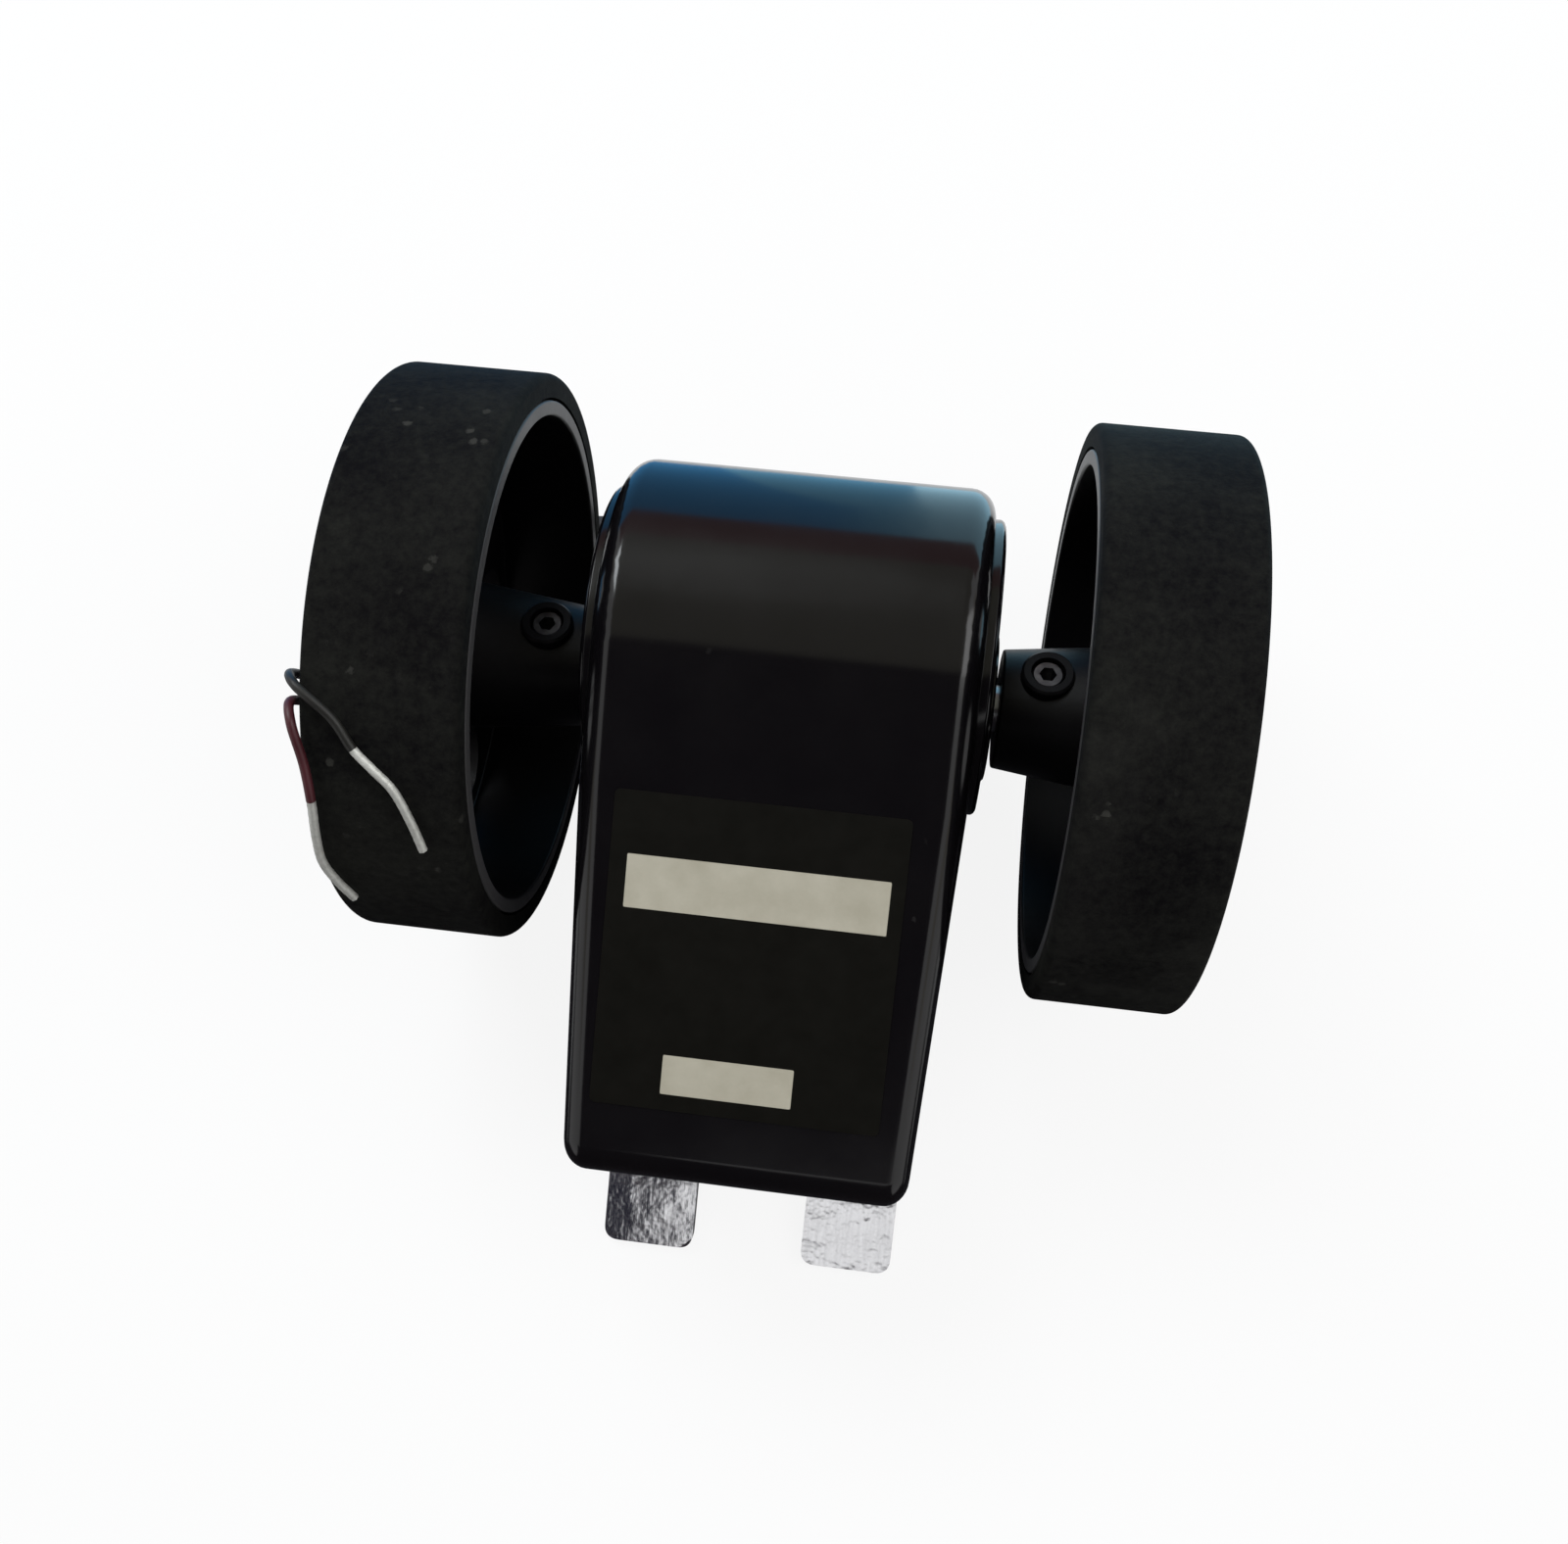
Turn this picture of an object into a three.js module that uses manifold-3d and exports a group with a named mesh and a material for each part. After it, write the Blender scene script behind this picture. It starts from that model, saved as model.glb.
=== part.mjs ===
// A twin-wheel length counter: two rubber-tyred wheels on one through shaft, a rotary pulse
// encoder in a two-shell housing between them, and a forked mounting bracket at the tail.
// It lies on its wheels and on the tips of the bracket, with its flat front face up.
// Millimetres, X along the shaft, Z up, the tail towards -Y.

import * as THREE from 'three';
import { mergeVertices } from 'three/addons/utils/BufferGeometryUtils.js';
import loadManifold from 'manifold-3d';

const wasm = await loadManifold();
wasm.setup();

// Gaps shared by all pieces: between seated pieces, along the shell seam, and past a cut face
const fit = 0.3;
const seam = 0.3;
const overrun = 1;

// Measuring wheels, a quarter yard round
const wheelCircumference = 228.6;
const wheelWidth = 18;
const wheelGap = 9.2;
const tyreThickness = 2.9;
const tyreShoulder = 1;
const ribHeight = 0.7;
const ribWidth = 5;
const rimWall = 1.9;
const webThickness = 2.6;
const webRecess = 1.7;
const webHoleRadius = 5.5;
const webHoles = 6;
const hubRootRadius = 10.2;
const hubNoseRadius = 7.6;
const hubRunningGap = 0.8;
const hubOuterStep = 0.6;
const hubScrewRadius = 2;
const hubScrewInset = 5.4;
const hubScrewSunk = 0.5;
const hubScrewSocket = 1.1;
const hubPadRadius = 3.3;
const hubPadHeight = 0.9;
const hubScrewLean = THREE.MathUtils.degToRad(22);

// Housing. A place s runs from the shaft down to the tail, a height h up to the front face.
const halfWidth = 23;
const tailHalfWidth = 21.1;
const taperStart = 12;
const frontHeight = 23.2;
const headOffset = 4;
const backHeight = 22;
const tailLength = 60.5;
const stepRun = 5;
const wall = 2.5;
const edgeRadius = 3.2;
const cornerRadius = 4.2;
const stepCorner = 1.6;
const stepHollow = 0.6;
const leastCorner = 0.4;
const cheekHeight = 1.4;
const cheekTrim = 2.7;
const cheekMargin = 0.3;
const cheekCorner = 4;
const cheekChamfer = 0.6;
const collarRadius = 9.5;
const collarHeight = 0.9;
const lipThickness = 1.1;
const lipHeight = 1.5;

// Shaft and its two ball bearings
const shaftRadius = 3;
const shaftMiddleRadius = 4;
const shaftChamfer = 0.4;
const shaftEndInset = 0.8;
const shaftHoleClearance = 1.2;
const bearingRadius = 9.5;
const bearingWidth = 6;
const bearingSink = 1.4;
const ballPitchRadius = 6.25;
const ballRadius = 1.5;
const ballCount = 7;
const ringShoulder = 1.15;
const grooveClearance = 0.25;
const cageThickness = 0.6;
const cageWidth = 1.6;
const bossWall = 2;

// Slotted disc on the shaft
const discHubGap = 3.3;
const discGap = 3;
const discThickness = 0.6;
const discSlots = 40;
const slotLength = 2.4;
const slotMargin = 0.9;
const slotFillShare = 0.5;
const discHubRadius = 7.5;
const discHubLength = 6;
const discRegisterRadius = 5.6;
const discScrewRadius = 1.5;
const discScrewSocket = 0.8;

// Circuit board and the light barrier that reads the disc
const boardEndGap = 2;
const boardThickness = 1.6;
const boardStart = 19;
const boardLift = 6.9;
const standoffRadius = 2.5;
const boardScrewRadius = 1.25;
const boardScrewHead = 2.2;
const boardScrewHeadHeight = 1.5;
const boardScrewLength = 6;
const boardScrewEdge = 3.1;
const boardScrewGap = 3.3;
const boardScrewEndInset = 5;
const sensorLength = 13;
const sensorWidth = 13;
const sensorTop = 5;
const sensorSlot = 4;
const sensorReach = 4;
const chipLength = 8.6;
const chipWidth = 4;
const chipHeight = 1.6;
const chipLegs = 4;
const chipLegWidth = 0.5;
const chipLegReach = 1;
const chipInset = 23;
const capacitorRadius = 2.5;
const capacitorHeight = 5.4;
const capacitorChamfer = 0.4;
const capacitorAcross = -5.5;
const capacitorInset = 14;

// Screws that close the housing, two in the head and two through the bracket
const screwRadius = 1.4;
const screwHeadRadius = 2.8;
const screwHeadHeight = 1.9;
const recessDepth = 1;
const recessWidth = 0.7;
const recessArmShare = 0.55;
const screwReach = 9;
const pilotEnd = 2;
const postRadius = 3.6;
const headPostWall = 1.2;
const headScrewAcross = 15;
const headScrewSeat = 14;
const tailScrewAcross = 15;
const tailScrewPlace = 51;

// Forked steel mounting bracket under the tail
const bracketThickness = 2;
const bracketHalfWidth = 21;
const bracketGap = 5;
const bracketReach = 23.1;
const bracketCorner = 2.2;
const forkHalfGap = 8;
const forkDepth = 20.6;
const mountHoleRadius = 2.25;
const mountHoleAcross = 14.5;
const mountHoleInset = 14.6;

// Cable, its outlet in the step of the rear shell, and its four cores
const cableRadius = 1.8;
const glandAcross = -3;
const glandLift = 0.5;
const glandMargin = 0.5;
const glandBarrelRadius = 2.6;
const glandFlangeRadius = 3.2;
const glandFlange = 1.2;
const glandBootRadius = 3;
const glandTipRadius = 2.5;
const glandLength = 10;
const glandGrooves = 3;
const glandGrooveDepth = 0.3;
const innerStub = 3.5;
const leadPitch = 1.6;
const leadGap = 1.5;
const leadBend = 3.5;
const leadLanding = 2;
const coreRadius = 0.55;

// The free cable's coil lies under the head, round the point coilAcross, coilAlong
const coilAcross = -4;
const coilAlong = 9;
const coilRadius = 26;
const coilTurns = 7.25;
const turnPitch = 4.2;
const tieThickness = 0.6;
const tieWidth = 2.6;
const tieSlack = 0.5;
const tieAngle = THREE.MathUtils.degToRad(225);
const tableClearance = 0.05;

// Facets
const wheelFacets = 36;
const ringFacets = 20;
const holeFacets = 12;
const screwFacets = 10;
const headFacets = 16;
const cornerFacets = 3;
const shoulderFacets = 2;
const bevelFacets = 3;
const cableSides = 8;
const cableStepShare = 3;
const leadSides = 5;
const leadSteps = 8;
const ballFacets = 6;
const coilSides = 6;
const coilStepsPerTurn = 24;

// Sizes that follow
const quarter = Math.PI / 2;
const turn = 2 * Math.PI;
const tyreRadius = wheelCircumference / turn;
const stepPlace = taperStart + stepRun;
const glandInset = wall + cableRadius + glandLift;
const glandDepth = backHeight - glandInset;
const stepHeight = glandInset + glandFlangeRadius + glandMargin;
const tailBackHeight = backHeight - stepHeight;
const bracketTip = tailLength + bracketReach;
const forkRoot = bracketTip - forkDepth;
const mountHolePlace = bracketTip - mountHoleInset;
const collarFace = halfWidth + cheekHeight + collarHeight;
const wheelInner = halfWidth + cheekHeight + wheelGap;
const wheelOuter = wheelInner + wheelWidth;
const wheelMiddle = (wheelInner + wheelOuter) / 2;
const rimRadius = tyreRadius - tyreThickness - fit;
const rimInnerRadius = rimRadius - rimWall;
const webOuter = wheelOuter - webRecess;
const webInner = webOuter - webThickness;
const hubNose = collarFace + hubRunningGap;
const hubScrewPlace = hubNose + hubScrewInset;
const hubSlope = (hubRootRadius - hubNoseRadius) / (webInner - hubNose);
const hubRadiusAtScrew = hubNoseRadius + hubSlope * hubScrewInset;
const hubPadFace = hubRadiusAtScrew + hubPadHeight;
const webHoleCircle = (hubRootRadius + rimInnerRadius + webHoleRadius) / 2;
const bearingOuterFace = halfWidth + fit - bearingSink;
const bearingInnerFace = bearingOuterFace - bearingWidth;
const bearingMiddle = (bearingOuterFace + bearingInnerFace) / 2;
const bossRadius = bearingRadius + fit + bossWall;
const bossStart = bearingInnerFace - fit;
const shaftHoleRadius = shaftRadius + shaftHoleClearance;
const shaftEnd = wheelOuter - shaftEndInset;
const discHubStart = bearingInnerFace - discHubGap - discHubLength;
const discPlace = discHubStart - fit - discThickness / 2;
const discRadius = backHeight - wall - discGap;
const leadAcross = discPlace - sensorWidth / 2 - leadGap;
const sensorStart = discRadius - sensorReach;
const sensorEnd = sensorStart + sensorLength;
const counterboreRadius = screwHeadRadius + fit;
const headPostRadius = counterboreRadius + headPostWall;
const headScrewPlace = bossRadius + headPostRadius + fit;
const boardHalfWidth = tailScrewAcross - postRadius - fit;
const boardScrewAcross = boardHalfWidth - boardScrewEdge;
const boardLength = tailLength - wall - boardEndGap - boardStart;
const boardUnder = tailBackHeight - boardLift;
const boardDepth = boardUnder - boardThickness;
const boardTop = fit - boardDepth;
const bracketTop = tailBackHeight + fit;
const bracketUnder = bracketTop + bracketThickness;
const glandStart = stepPlace + fit;
const glandEnd = stepPlace + glandLength;
const bracketStart = glandEnd + bracketGap;
const stubEnd = stepPlace - wall - innerStub;
const cableWidth = 2 * cableRadius;
const lowerLayer = tableClearance + tieThickness + fit + cableRadius;
const upperLayer = lowerLayer + turnPitch;
const tilt = Math.asin(tyreRadius / Math.hypot(bracketTip, bracketUnder))
  - Math.atan2(bracketUnder, bracketTip);
const tipReach = bracketTip * Math.cos(tilt) - bracketTop * Math.sin(tilt);
const middleAlong = (tipReach - tyreRadius) / 2;

// Solids that can be cut: a mesh of three.js is welded, faced outwards and handed over
function weld(geometry) {
  const bare = new THREE.BufferGeometry();
  bare.setAttribute('position', geometry.getAttribute('position').clone());
  if (geometry.index) bare.setIndex(Array.from(geometry.index.array));
  const welded = mergeVertices(bare);
  const corner = welded.getAttribute('position');
  const [a, b, c] = [new THREE.Vector3(), new THREE.Vector3(), new THREE.Vector3()];
  const kept = [];
  let volume = 0;
  for (let i = 0; i < welded.index.count; i += 3) {
    const [p, q, r] = [0, 1, 2].map((k) => welded.index.getX(i + k));
    if (p === q || q === r || r === p) continue;
    kept.push(p, q, r);
    a.fromBufferAttribute(corner, p);
    b.fromBufferAttribute(corner, q);
    c.fromBufferAttribute(corner, r);
    volume += a.dot(b.cross(c));
  }
  welded.setIndex(volume < 0 ? kept.reverse() : kept);
  return welded;
}

function solid(geometry) {
  const welded = weld(geometry);
  return new wasm.Manifold(new wasm.Mesh({
    numProp: 3,
    vertProperties: new Float32Array(welded.getAttribute('position').array),
    triVerts: new Uint32Array(welded.index.array),
  }));
}

function surface(body) {
  const mesh = body.getMesh();
  const geometry = new THREE.BufferGeometry();
  const corners = new Float32Array(mesh.vertProperties);
  geometry.setAttribute('position', new THREE.BufferAttribute(corners, 3));
  geometry.setIndex(Array.from(mesh.triVerts));
  return geometry;
}

const join = (first, ...others) => others.reduce((sum, body) => sum.add(body), first);
const cut = (first, ...others) => others.reduce((rest, body) => rest.subtract(body), first);
const common = (first, second) => first.intersect(second);
const mirrored = (geometry) => weld(geometry.clone().scale(-1, 1, 1));

// Plain shapes
function arc(across, along, radius, start, end, facets) {
  return Array.from({ length: facets + 1 }, (_, i) => {
    const angle = start + ((end - start) * i) / facets;
    return new THREE.Vector2(across + radius * Math.cos(angle), along + radius * Math.sin(angle));
  });
}

function circle(across, along, radius, facets) {
  return arc(across, along, radius, 0, turn, facets).slice(0, -1);
}

// Turned pieces from [radius, place] pairs, about X, about Z, or about the line of s
function turned(pairs, facets) {
  return new THREE.LatheGeometry(pairs.map(([radius, place]) => new THREE.Vector2(radius, place)), facets);
}

const turnedX = (pairs, facets) => solid(turned(pairs, facets).rotateZ(-quarter));
const turnedZ = (pairs, facets) => solid(turned(pairs, facets).rotateX(quarter));
const turnedS = (pairs, facets) => solid(turned(pairs, facets).rotateX(2 * quarter));
const closed = (pairs) => [...pairs, pairs[0]];
const bar = (radius, from, to) => [[0, from], [radius, from], [radius, to], [0, to]];
const barX = (radius, from, to, facets) => turnedX(bar(radius, from, to), facets);
const barZ = (radius, from, to, facets, x, y) => turnedZ(bar(radius, from, to), facets).translate(x, y, 0);

function block(x0, x1, y0, y1, z0, z1) {
  const geometry = new THREE.BoxGeometry(x1 - x0, y1 - y0, z1 - z0);
  return solid(geometry.translate((x0 + x1) / 2, (y0 + y1) / 2, (z0 + z1) / 2));
}

// A flat plate in (x, y) with holes, from height z0 to z1
function plate(outline, holes, z0, z1) {
  const shape = new THREE.Shape(outline);
  shape.holes = holes.map((hole) => new THREE.Path(hole));
  const geometry = new THREE.ExtrudeGeometry(shape, { depth: z1 - z0, bevelEnabled: false });
  return weld(geometry.translate(0, 0, z0));
}

// A round tube along a path
function tube(path, radius, sides, steps) {
  const ring = new THREE.Shape(circle(0, 0, radius, sides));
  return weld(new THREE.ExtrudeGeometry(ring, { steps, extrudePath: path, bevelEnabled: false }));
}

const through = (points) => (
  new THREE.CatmullRomCurve3(points.map((point) => new THREE.Vector3(...point)), false, 'centripetal'));

// Housing side view in (y, z), drawn in by `inset` all round. It folds where the taper starts.
const foldPoint = headFacets + 1;

// The round end of the head, whose rear half is flattened to the back
function headEnd(front, back) {
  return arc(headOffset, 0, front, quarter, -quarter, headFacets)
    .map((point) => new THREE.Vector2(point.x, point.y < 0 ? (point.y * -back) / front : point.y));
}

function housingOutline(inset) {
  const front = frontHeight - inset;
  const back = inset - backHeight;
  const step = inset - stepPlace;
  const tailBack = inset - tailBackHeight;
  const tail = inset - tailLength;
  const corner = Math.max(cornerRadius - inset, leastCorner);
  const outerStep = Math.max(stepCorner - inset, leastCorner);
  const hollow = stepHollow + inset;
  return [
    ...headEnd(front, back),
    new THREE.Vector2(-taperStart, back),
    ...arc(step + outerStep, back + outerStep, outerStep, -quarter, -2 * quarter, cornerFacets),
    ...arc(step - hollow, tailBack - hollow, hollow, 0, quarter, cornerFacets),
    ...arc(tail + corner, tailBack + corner, corner, -quarter, -2 * quarter, cornerFacets),
    ...arc(tail + corner, front - corner, corner, 2 * quarter, quarter, cornerFacets),
    new THREE.Vector2(-taperStart, front),
  ];
}

// The cheek on the side of the head: a round pad with a straight lower edge
function cheekOutline(inset) {
  const radius = frontHeight - edgeRadius - cheekMargin - inset;
  const corner = cheekCorner - inset;
  const drop = radius - cheekTrim - corner;
  const lean = Math.acos(-drop / (radius - corner));
  const rise = (radius - corner) * Math.sin(lean);
  return [
    ...arc(headOffset, 0, radius, -lean, lean, headFacets),
    ...arc(headOffset - drop, rise, corner, lean, 2 * quarter, cornerFacets).slice(1),
    ...arc(headOffset - drop, -rise, corner, 2 * quarter, turn - lean, cornerFacets).slice(0, -1),
  ];
}

// A skin through like outlines, each at its own x, with a flat cap at both ends.
// With a fold, the cap is laid in two parts that meet from that point to the last one.
function loft(sections, fold = 0) {
  const count = sections[0].outline.length;
  const corners = sections.flatMap(({ x, outline }) => outline.flatMap((point) => [x, point.x, point.y]));
  const faces = [];
  for (let s = 0; s + 1 < sections.length; s += 1) {
    for (let i = 0; i < count; i += 1) {
      const a = s * count + i;
      const b = s * count + ((i + 1) % count);
      faces.push(a, b, b + count, a, b + count, a + count);
    }
  }
  const all = Array.from({ length: count }, (_, i) => i);
  const parts = fold ? [[...all.slice(0, fold + 1), count - 1], all.slice(fold)] : [all];
  const facing = THREE.ShapeUtils.isClockWise(sections[0].outline) ? [2, 1, 0] : [0, 1, 2];
  const caps = [[0, facing.toReversed()], [sections.length - 1, facing]];
  for (const part of parts) {
    for (const [s, order] of caps) {
      const outline = part.map((i) => sections[s].outline[i]);
      for (const face of THREE.ShapeUtils.triangulateShape(outline, [])) {
        faces.push(...order.map((k) => s * count + part[face[k]]));
      }
    }
  }
  const geometry = new THREE.BufferGeometry();
  geometry.setAttribute('position', new THREE.BufferAttribute(new Float32Array(corners), 3));
  geometry.setIndex(faces);
  return geometry;
}

// The housing's side walls draw in towards the tail
function taper(geometry) {
  const corner = geometry.getAttribute('position');
  for (let i = 0; i < corner.count; i += 1) {
    const run = Math.max(0, (-corner.getY(i) - taperStart) / (tailLength - taperStart));
    corner.setX(i, corner.getX(i) * (1 + (tailHalfWidth / halfWidth - 1) * run));
  }
  return geometry;
}

// The whole housing as one body with rounded side edges
function housingBody() {
  const left = Array.from({ length: bevelFacets + 1 }, (_, i) => {
    const angle = (quarter * i) / bevelFacets;
    const inset = edgeRadius * (1 - Math.sin(angle));
    return { x: edgeRadius * (1 - Math.cos(angle)) - halfWidth, outline: housingOutline(inset) };
  });
  const right = left.map(({ x, outline }) => ({ x: -x, outline })).reverse();
  return solid(taper(loft([...left, ...right], foldPoint)));
}

// The room `inset` inside the housing's outer faces
function housingRoom(inset) {
  const outline = housingOutline(inset);
  const half = halfWidth - inset;
  return solid(taper(loft([{ x: -half, outline }, { x: half, outline }], foldPoint)));
}

const slice = (z0, z1) => block(-wheelInner, wheelInner, -bracketTip, bracketTip, z0, z1);

// Cheek and collar that stand out of one side of the housing round the shaft
function sidePad(side) {
  const inside = side * (halfWidth - wall / 2);
  const cheek = solid(loft([
    { x: inside, outline: cheekOutline(0) },
    { x: side * (halfWidth + cheekHeight - cheekChamfer), outline: cheekOutline(0) },
    { x: side * (halfWidth + cheekHeight), outline: cheekOutline(cheekChamfer) },
  ]));
  return join(cheek, barX(collarRadius, inside, side * collarFace, ringFacets));
}

// Seat of a bearing and the hole of the shaft
function shaftCuts(side) {
  const seatEnd = side * (bearingOuterFace + fit);
  const seat = barX(bearingRadius + fit, side * (bossStart - overrun), seatEnd, ringFacets);
  return join(seat, barX(shaftHoleRadius, side * bossStart, side * (collarFace + overrun), ringFacets));
}

const sides = [-1, 1];
const headScrews = sides.map((side) => [side * headScrewAcross, headScrewPlace]);
const tailScrews = sides.map((side) => [side * tailScrewAcross, -tailScrewPlace]);
const boardScrews = [
  [boardScrewAcross, -sensorEnd - boardScrewGap - boardScrewHead],
  [-boardScrewAcross, boardScrewEndInset - boardStart - boardLength],
];

// Both shells share one hollow body, parted along h = 0
function hollowHousing() {
  const hollow = cut(join(housingBody(), ...sides.map(sidePad)), housingRoom(wall));
  const bosses = sides.map((side) => barX(bossRadius, side * bossStart, side * halfWidth, ringFacets));
  return cut(join(hollow, ...bosses), ...sides.map(shaftCuts));
}

// The rear shell's lip, or the front shell's rebate for it, which both stop at the bearing bosses
function lipRing(outerInset, innerInset, top, bossGap) {
  const ring = common(cut(housingRoom(outerInset), housingRoom(innerInset)), slice(-wall, top));
  return cut(ring, block(-halfWidth, halfWidth, -bossGap, bossGap, -backHeight, backHeight));
}

const post = (radius, z0, z1, [x, y]) => common(barZ(radius, z0, z1, holeFacets, x, y), housingBody());
const bore = (radius, z0, z1, [x, y]) => barZ(radius, z0, z1, screwFacets, x, y);

function frontShell(hollow) {
  const screws = [...headScrews, ...tailScrews];
  const half = common(hollow, slice(seam / 2, frontHeight + overrun));
  const posts = screws.map((place) => post(postRadius, seam / 2, frontHeight - wall / 2, place));
  const pilots = screws.map((place) => bore(screwRadius + fit, -overrun, screwReach + pilotEnd, place));
  const rebate = lipRing(wall - lipThickness - fit, wall + overrun, lipHeight + fit, bossRadius);
  return surface(cut(join(half, ...posts), rebate, ...pilots));
}

function rearShell(hollow) {
  const floor = wall / 2 - tailBackHeight;
  const half = common(hollow, slice(-backHeight - overrun, -seam / 2));
  const body = join(
    half,
    lipRing(wall - lipThickness, wall, lipHeight, bossRadius + fit),
    ...headScrews.map((place) => post(headPostRadius, -backHeight, -seam / 2, place)),
    ...tailScrews.map((place) => post(postRadius, floor, -seam / 2, place)),
    ...boardScrews.map((place) => post(standoffRadius, floor, -boardUnder - fit, place)),
  );
  const boreEnd = lipHeight + overrun;
  const outletStart = stepPlace - wall - fit;
  const outlet = turnedS(bar(glandBarrelRadius + fit, outletStart, stepPlace + overrun), holeFacets);
  return surface(cut(
    body,
    ...headScrews.map((place) => bore(counterboreRadius, -backHeight - overrun, -headScrewSeat, place)),
    ...[...headScrews, ...tailScrews].map((place) => bore(screwRadius + fit, -backHeight, boreEnd, place)),
    ...boardScrews.map((place) => bore(boardScrewRadius + fit, floor, 0, place)),
    outlet.translate(glandAcross, 0, -glandDepth),
  ));
}

// A machine screw along Z with its head below and a cross recess
function machineScrew(radius, headRadius, headHeight, underHead, tip) {
  const top = underHead - headHeight;
  const half = recessWidth / 2;
  const arm = headRadius * recessArmShare;
  const body = turnedZ([
    [0, top],
    [headRadius - half, top],
    [headRadius, top + half],
    [headRadius, underHead],
    [radius, underHead],
    [radius, tip - half],
    [radius - half, tip],
    [0, tip],
  ], screwFacets);
  const across = block(-arm, arm, -half, half, top - overrun, top + recessDepth);
  const along = block(-half, half, -arm, arm, top - overrun, top + recessDepth);
  return surface(cut(body, across, along));
}

// A headless screw along Z with a six-sided socket in its outer end
function grubScrew(radius, socket, from, to) {
  const body = barZ(radius, from, to, screwFacets, 0, 0);
  return surface(cut(body, barZ(socket, (from + to) / 2, to + overrun, 6, 0, 0)));
}

// Wheel of the right side; the left one is its mirror image
function rim() {
  const shaftBore = shaftRadius + fit;
  const ribFrom = wheelMiddle - ribWidth / 2;
  const ribTo = wheelMiddle + ribWidth / 2;
  const wheel = turnedX(closed([
    [shaftBore, hubNose],
    [hubNoseRadius, hubNose],
    [hubRootRadius, webInner],
    [rimInnerRadius, webInner],
    [rimInnerRadius, wheelInner],
    [rimRadius, wheelInner],
    [rimRadius, ribFrom],
    [rimRadius + ribHeight, ribFrom],
    [rimRadius + ribHeight, ribTo],
    [rimRadius, ribTo],
    [rimRadius, wheelOuter],
    [rimInnerRadius, wheelOuter],
    [rimInnerRadius, webOuter],
    [hubNoseRadius, webOuter],
    [hubNoseRadius, wheelOuter - hubOuterStep],
    [shaftBore, wheelOuter - hubOuterStep],
  ]), wheelFacets);
  const holes = Array.from({ length: webHoles }, (_, i) => {
    const angle = (turn * i) / webHoles;
    return barX(webHoleRadius, webInner - overrun, webOuter + overrun, holeFacets)
      .translate(0, webHoleCircle * Math.cos(angle), webHoleCircle * Math.sin(angle));
  });
  const padRoot = (shaftBore + hubRadiusAtScrew) / 2;
  const pad = barZ(hubPadRadius, padRoot, hubPadFace, holeFacets, 0, 0);
  const thread = barZ(hubScrewRadius + fit, 0, hubPadFace + overrun, screwFacets, 0, 0);
  const [leaningPad, leaningThread] = [pad, thread].map((body) => (
    body.rotate(-THREE.MathUtils.radToDeg(hubScrewLean), 0, 0).translate(hubScrewPlace, 0, 0)));
  return surface(cut(join(wheel, leaningPad), leaningThread, ...holes));
}

function tyre() {
  const seat = rimRadius + fit;
  const crown = tyreRadius - tyreShoulder;
  const grooveFrom = wheelMiddle - ribWidth / 2 - fit;
  const grooveTo = wheelMiddle + ribWidth / 2 + fit;
  const shoulders = [
    ...arc(crown, wheelInner + tyreShoulder, tyreShoulder, -quarter, 0, shoulderFacets),
    ...arc(crown, wheelOuter - tyreShoulder, tyreShoulder, 0, quarter, shoulderFacets),
  ];
  return surface(turnedX(closed([
    [seat, wheelInner],
    ...shoulders.map((point) => [point.x, point.y]),
    [seat, wheelOuter],
    [seat, grooveTo],
    [seat + ribHeight, grooveTo],
    [seat + ribHeight, grooveFrom],
    [seat, grooveFrom],
  ]), wheelFacets));
}

function shaft() {
  const shoulder = bossStart;
  return surface(turnedX([
    [0, -shaftEnd],
    [shaftRadius - shaftChamfer, -shaftEnd],
    [shaftRadius, shaftChamfer - shaftEnd],
    [shaftRadius, -shoulder],
    [shaftMiddleRadius, -shoulder],
    [shaftMiddleRadius, shoulder],
    [shaftRadius, shoulder],
    [shaftRadius, shaftEnd - shaftChamfer],
    [shaftRadius - shaftChamfer, shaftEnd],
    [0, shaftEnd],
  ], ringFacets));
}

// A bearing ring about X from its plain radius to its shoulder, grooved on the balls' side
function bearingRing(plainRadius, side) {
  const groove = ballRadius + grooveClearance;
  const half = Math.acos(ringShoulder / groove);
  const shoulder = ballPitchRadius + side * ringShoulder;
  const grooved = arc(0, 0, groove, half, -half, cornerFacets);
  return surface(turnedX(closed([
    [shoulder, -bearingWidth / 2],
    [plainRadius, -bearingWidth / 2],
    [plainRadius, bearingWidth / 2],
    [shoulder, bearingWidth / 2],
    ...grooved.map((point) => [ballPitchRadius + side * point.x, point.y]),
  ]), ringFacets));
}

function ballCage() {
  const ring = turnedX(closed([
    [ballPitchRadius - cageThickness / 2, -cageWidth / 2],
    [ballPitchRadius + cageThickness / 2, -cageWidth / 2],
    [ballPitchRadius + cageThickness / 2, cageWidth / 2],
    [ballPitchRadius - cageThickness / 2, cageWidth / 2],
  ]), ringFacets);
  const balls = Array.from({ length: ballCount }, (_, i) => {
    const angle = (turn * i) / ballCount;
    return solid(new THREE.SphereGeometry(ballRadius, ballFacets, ballFacets - 2))
      .translate(0, ballPitchRadius * Math.cos(angle), ballPitchRadius * Math.sin(angle));
  });
  return surface(join(ring, ...balls));
}

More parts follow.
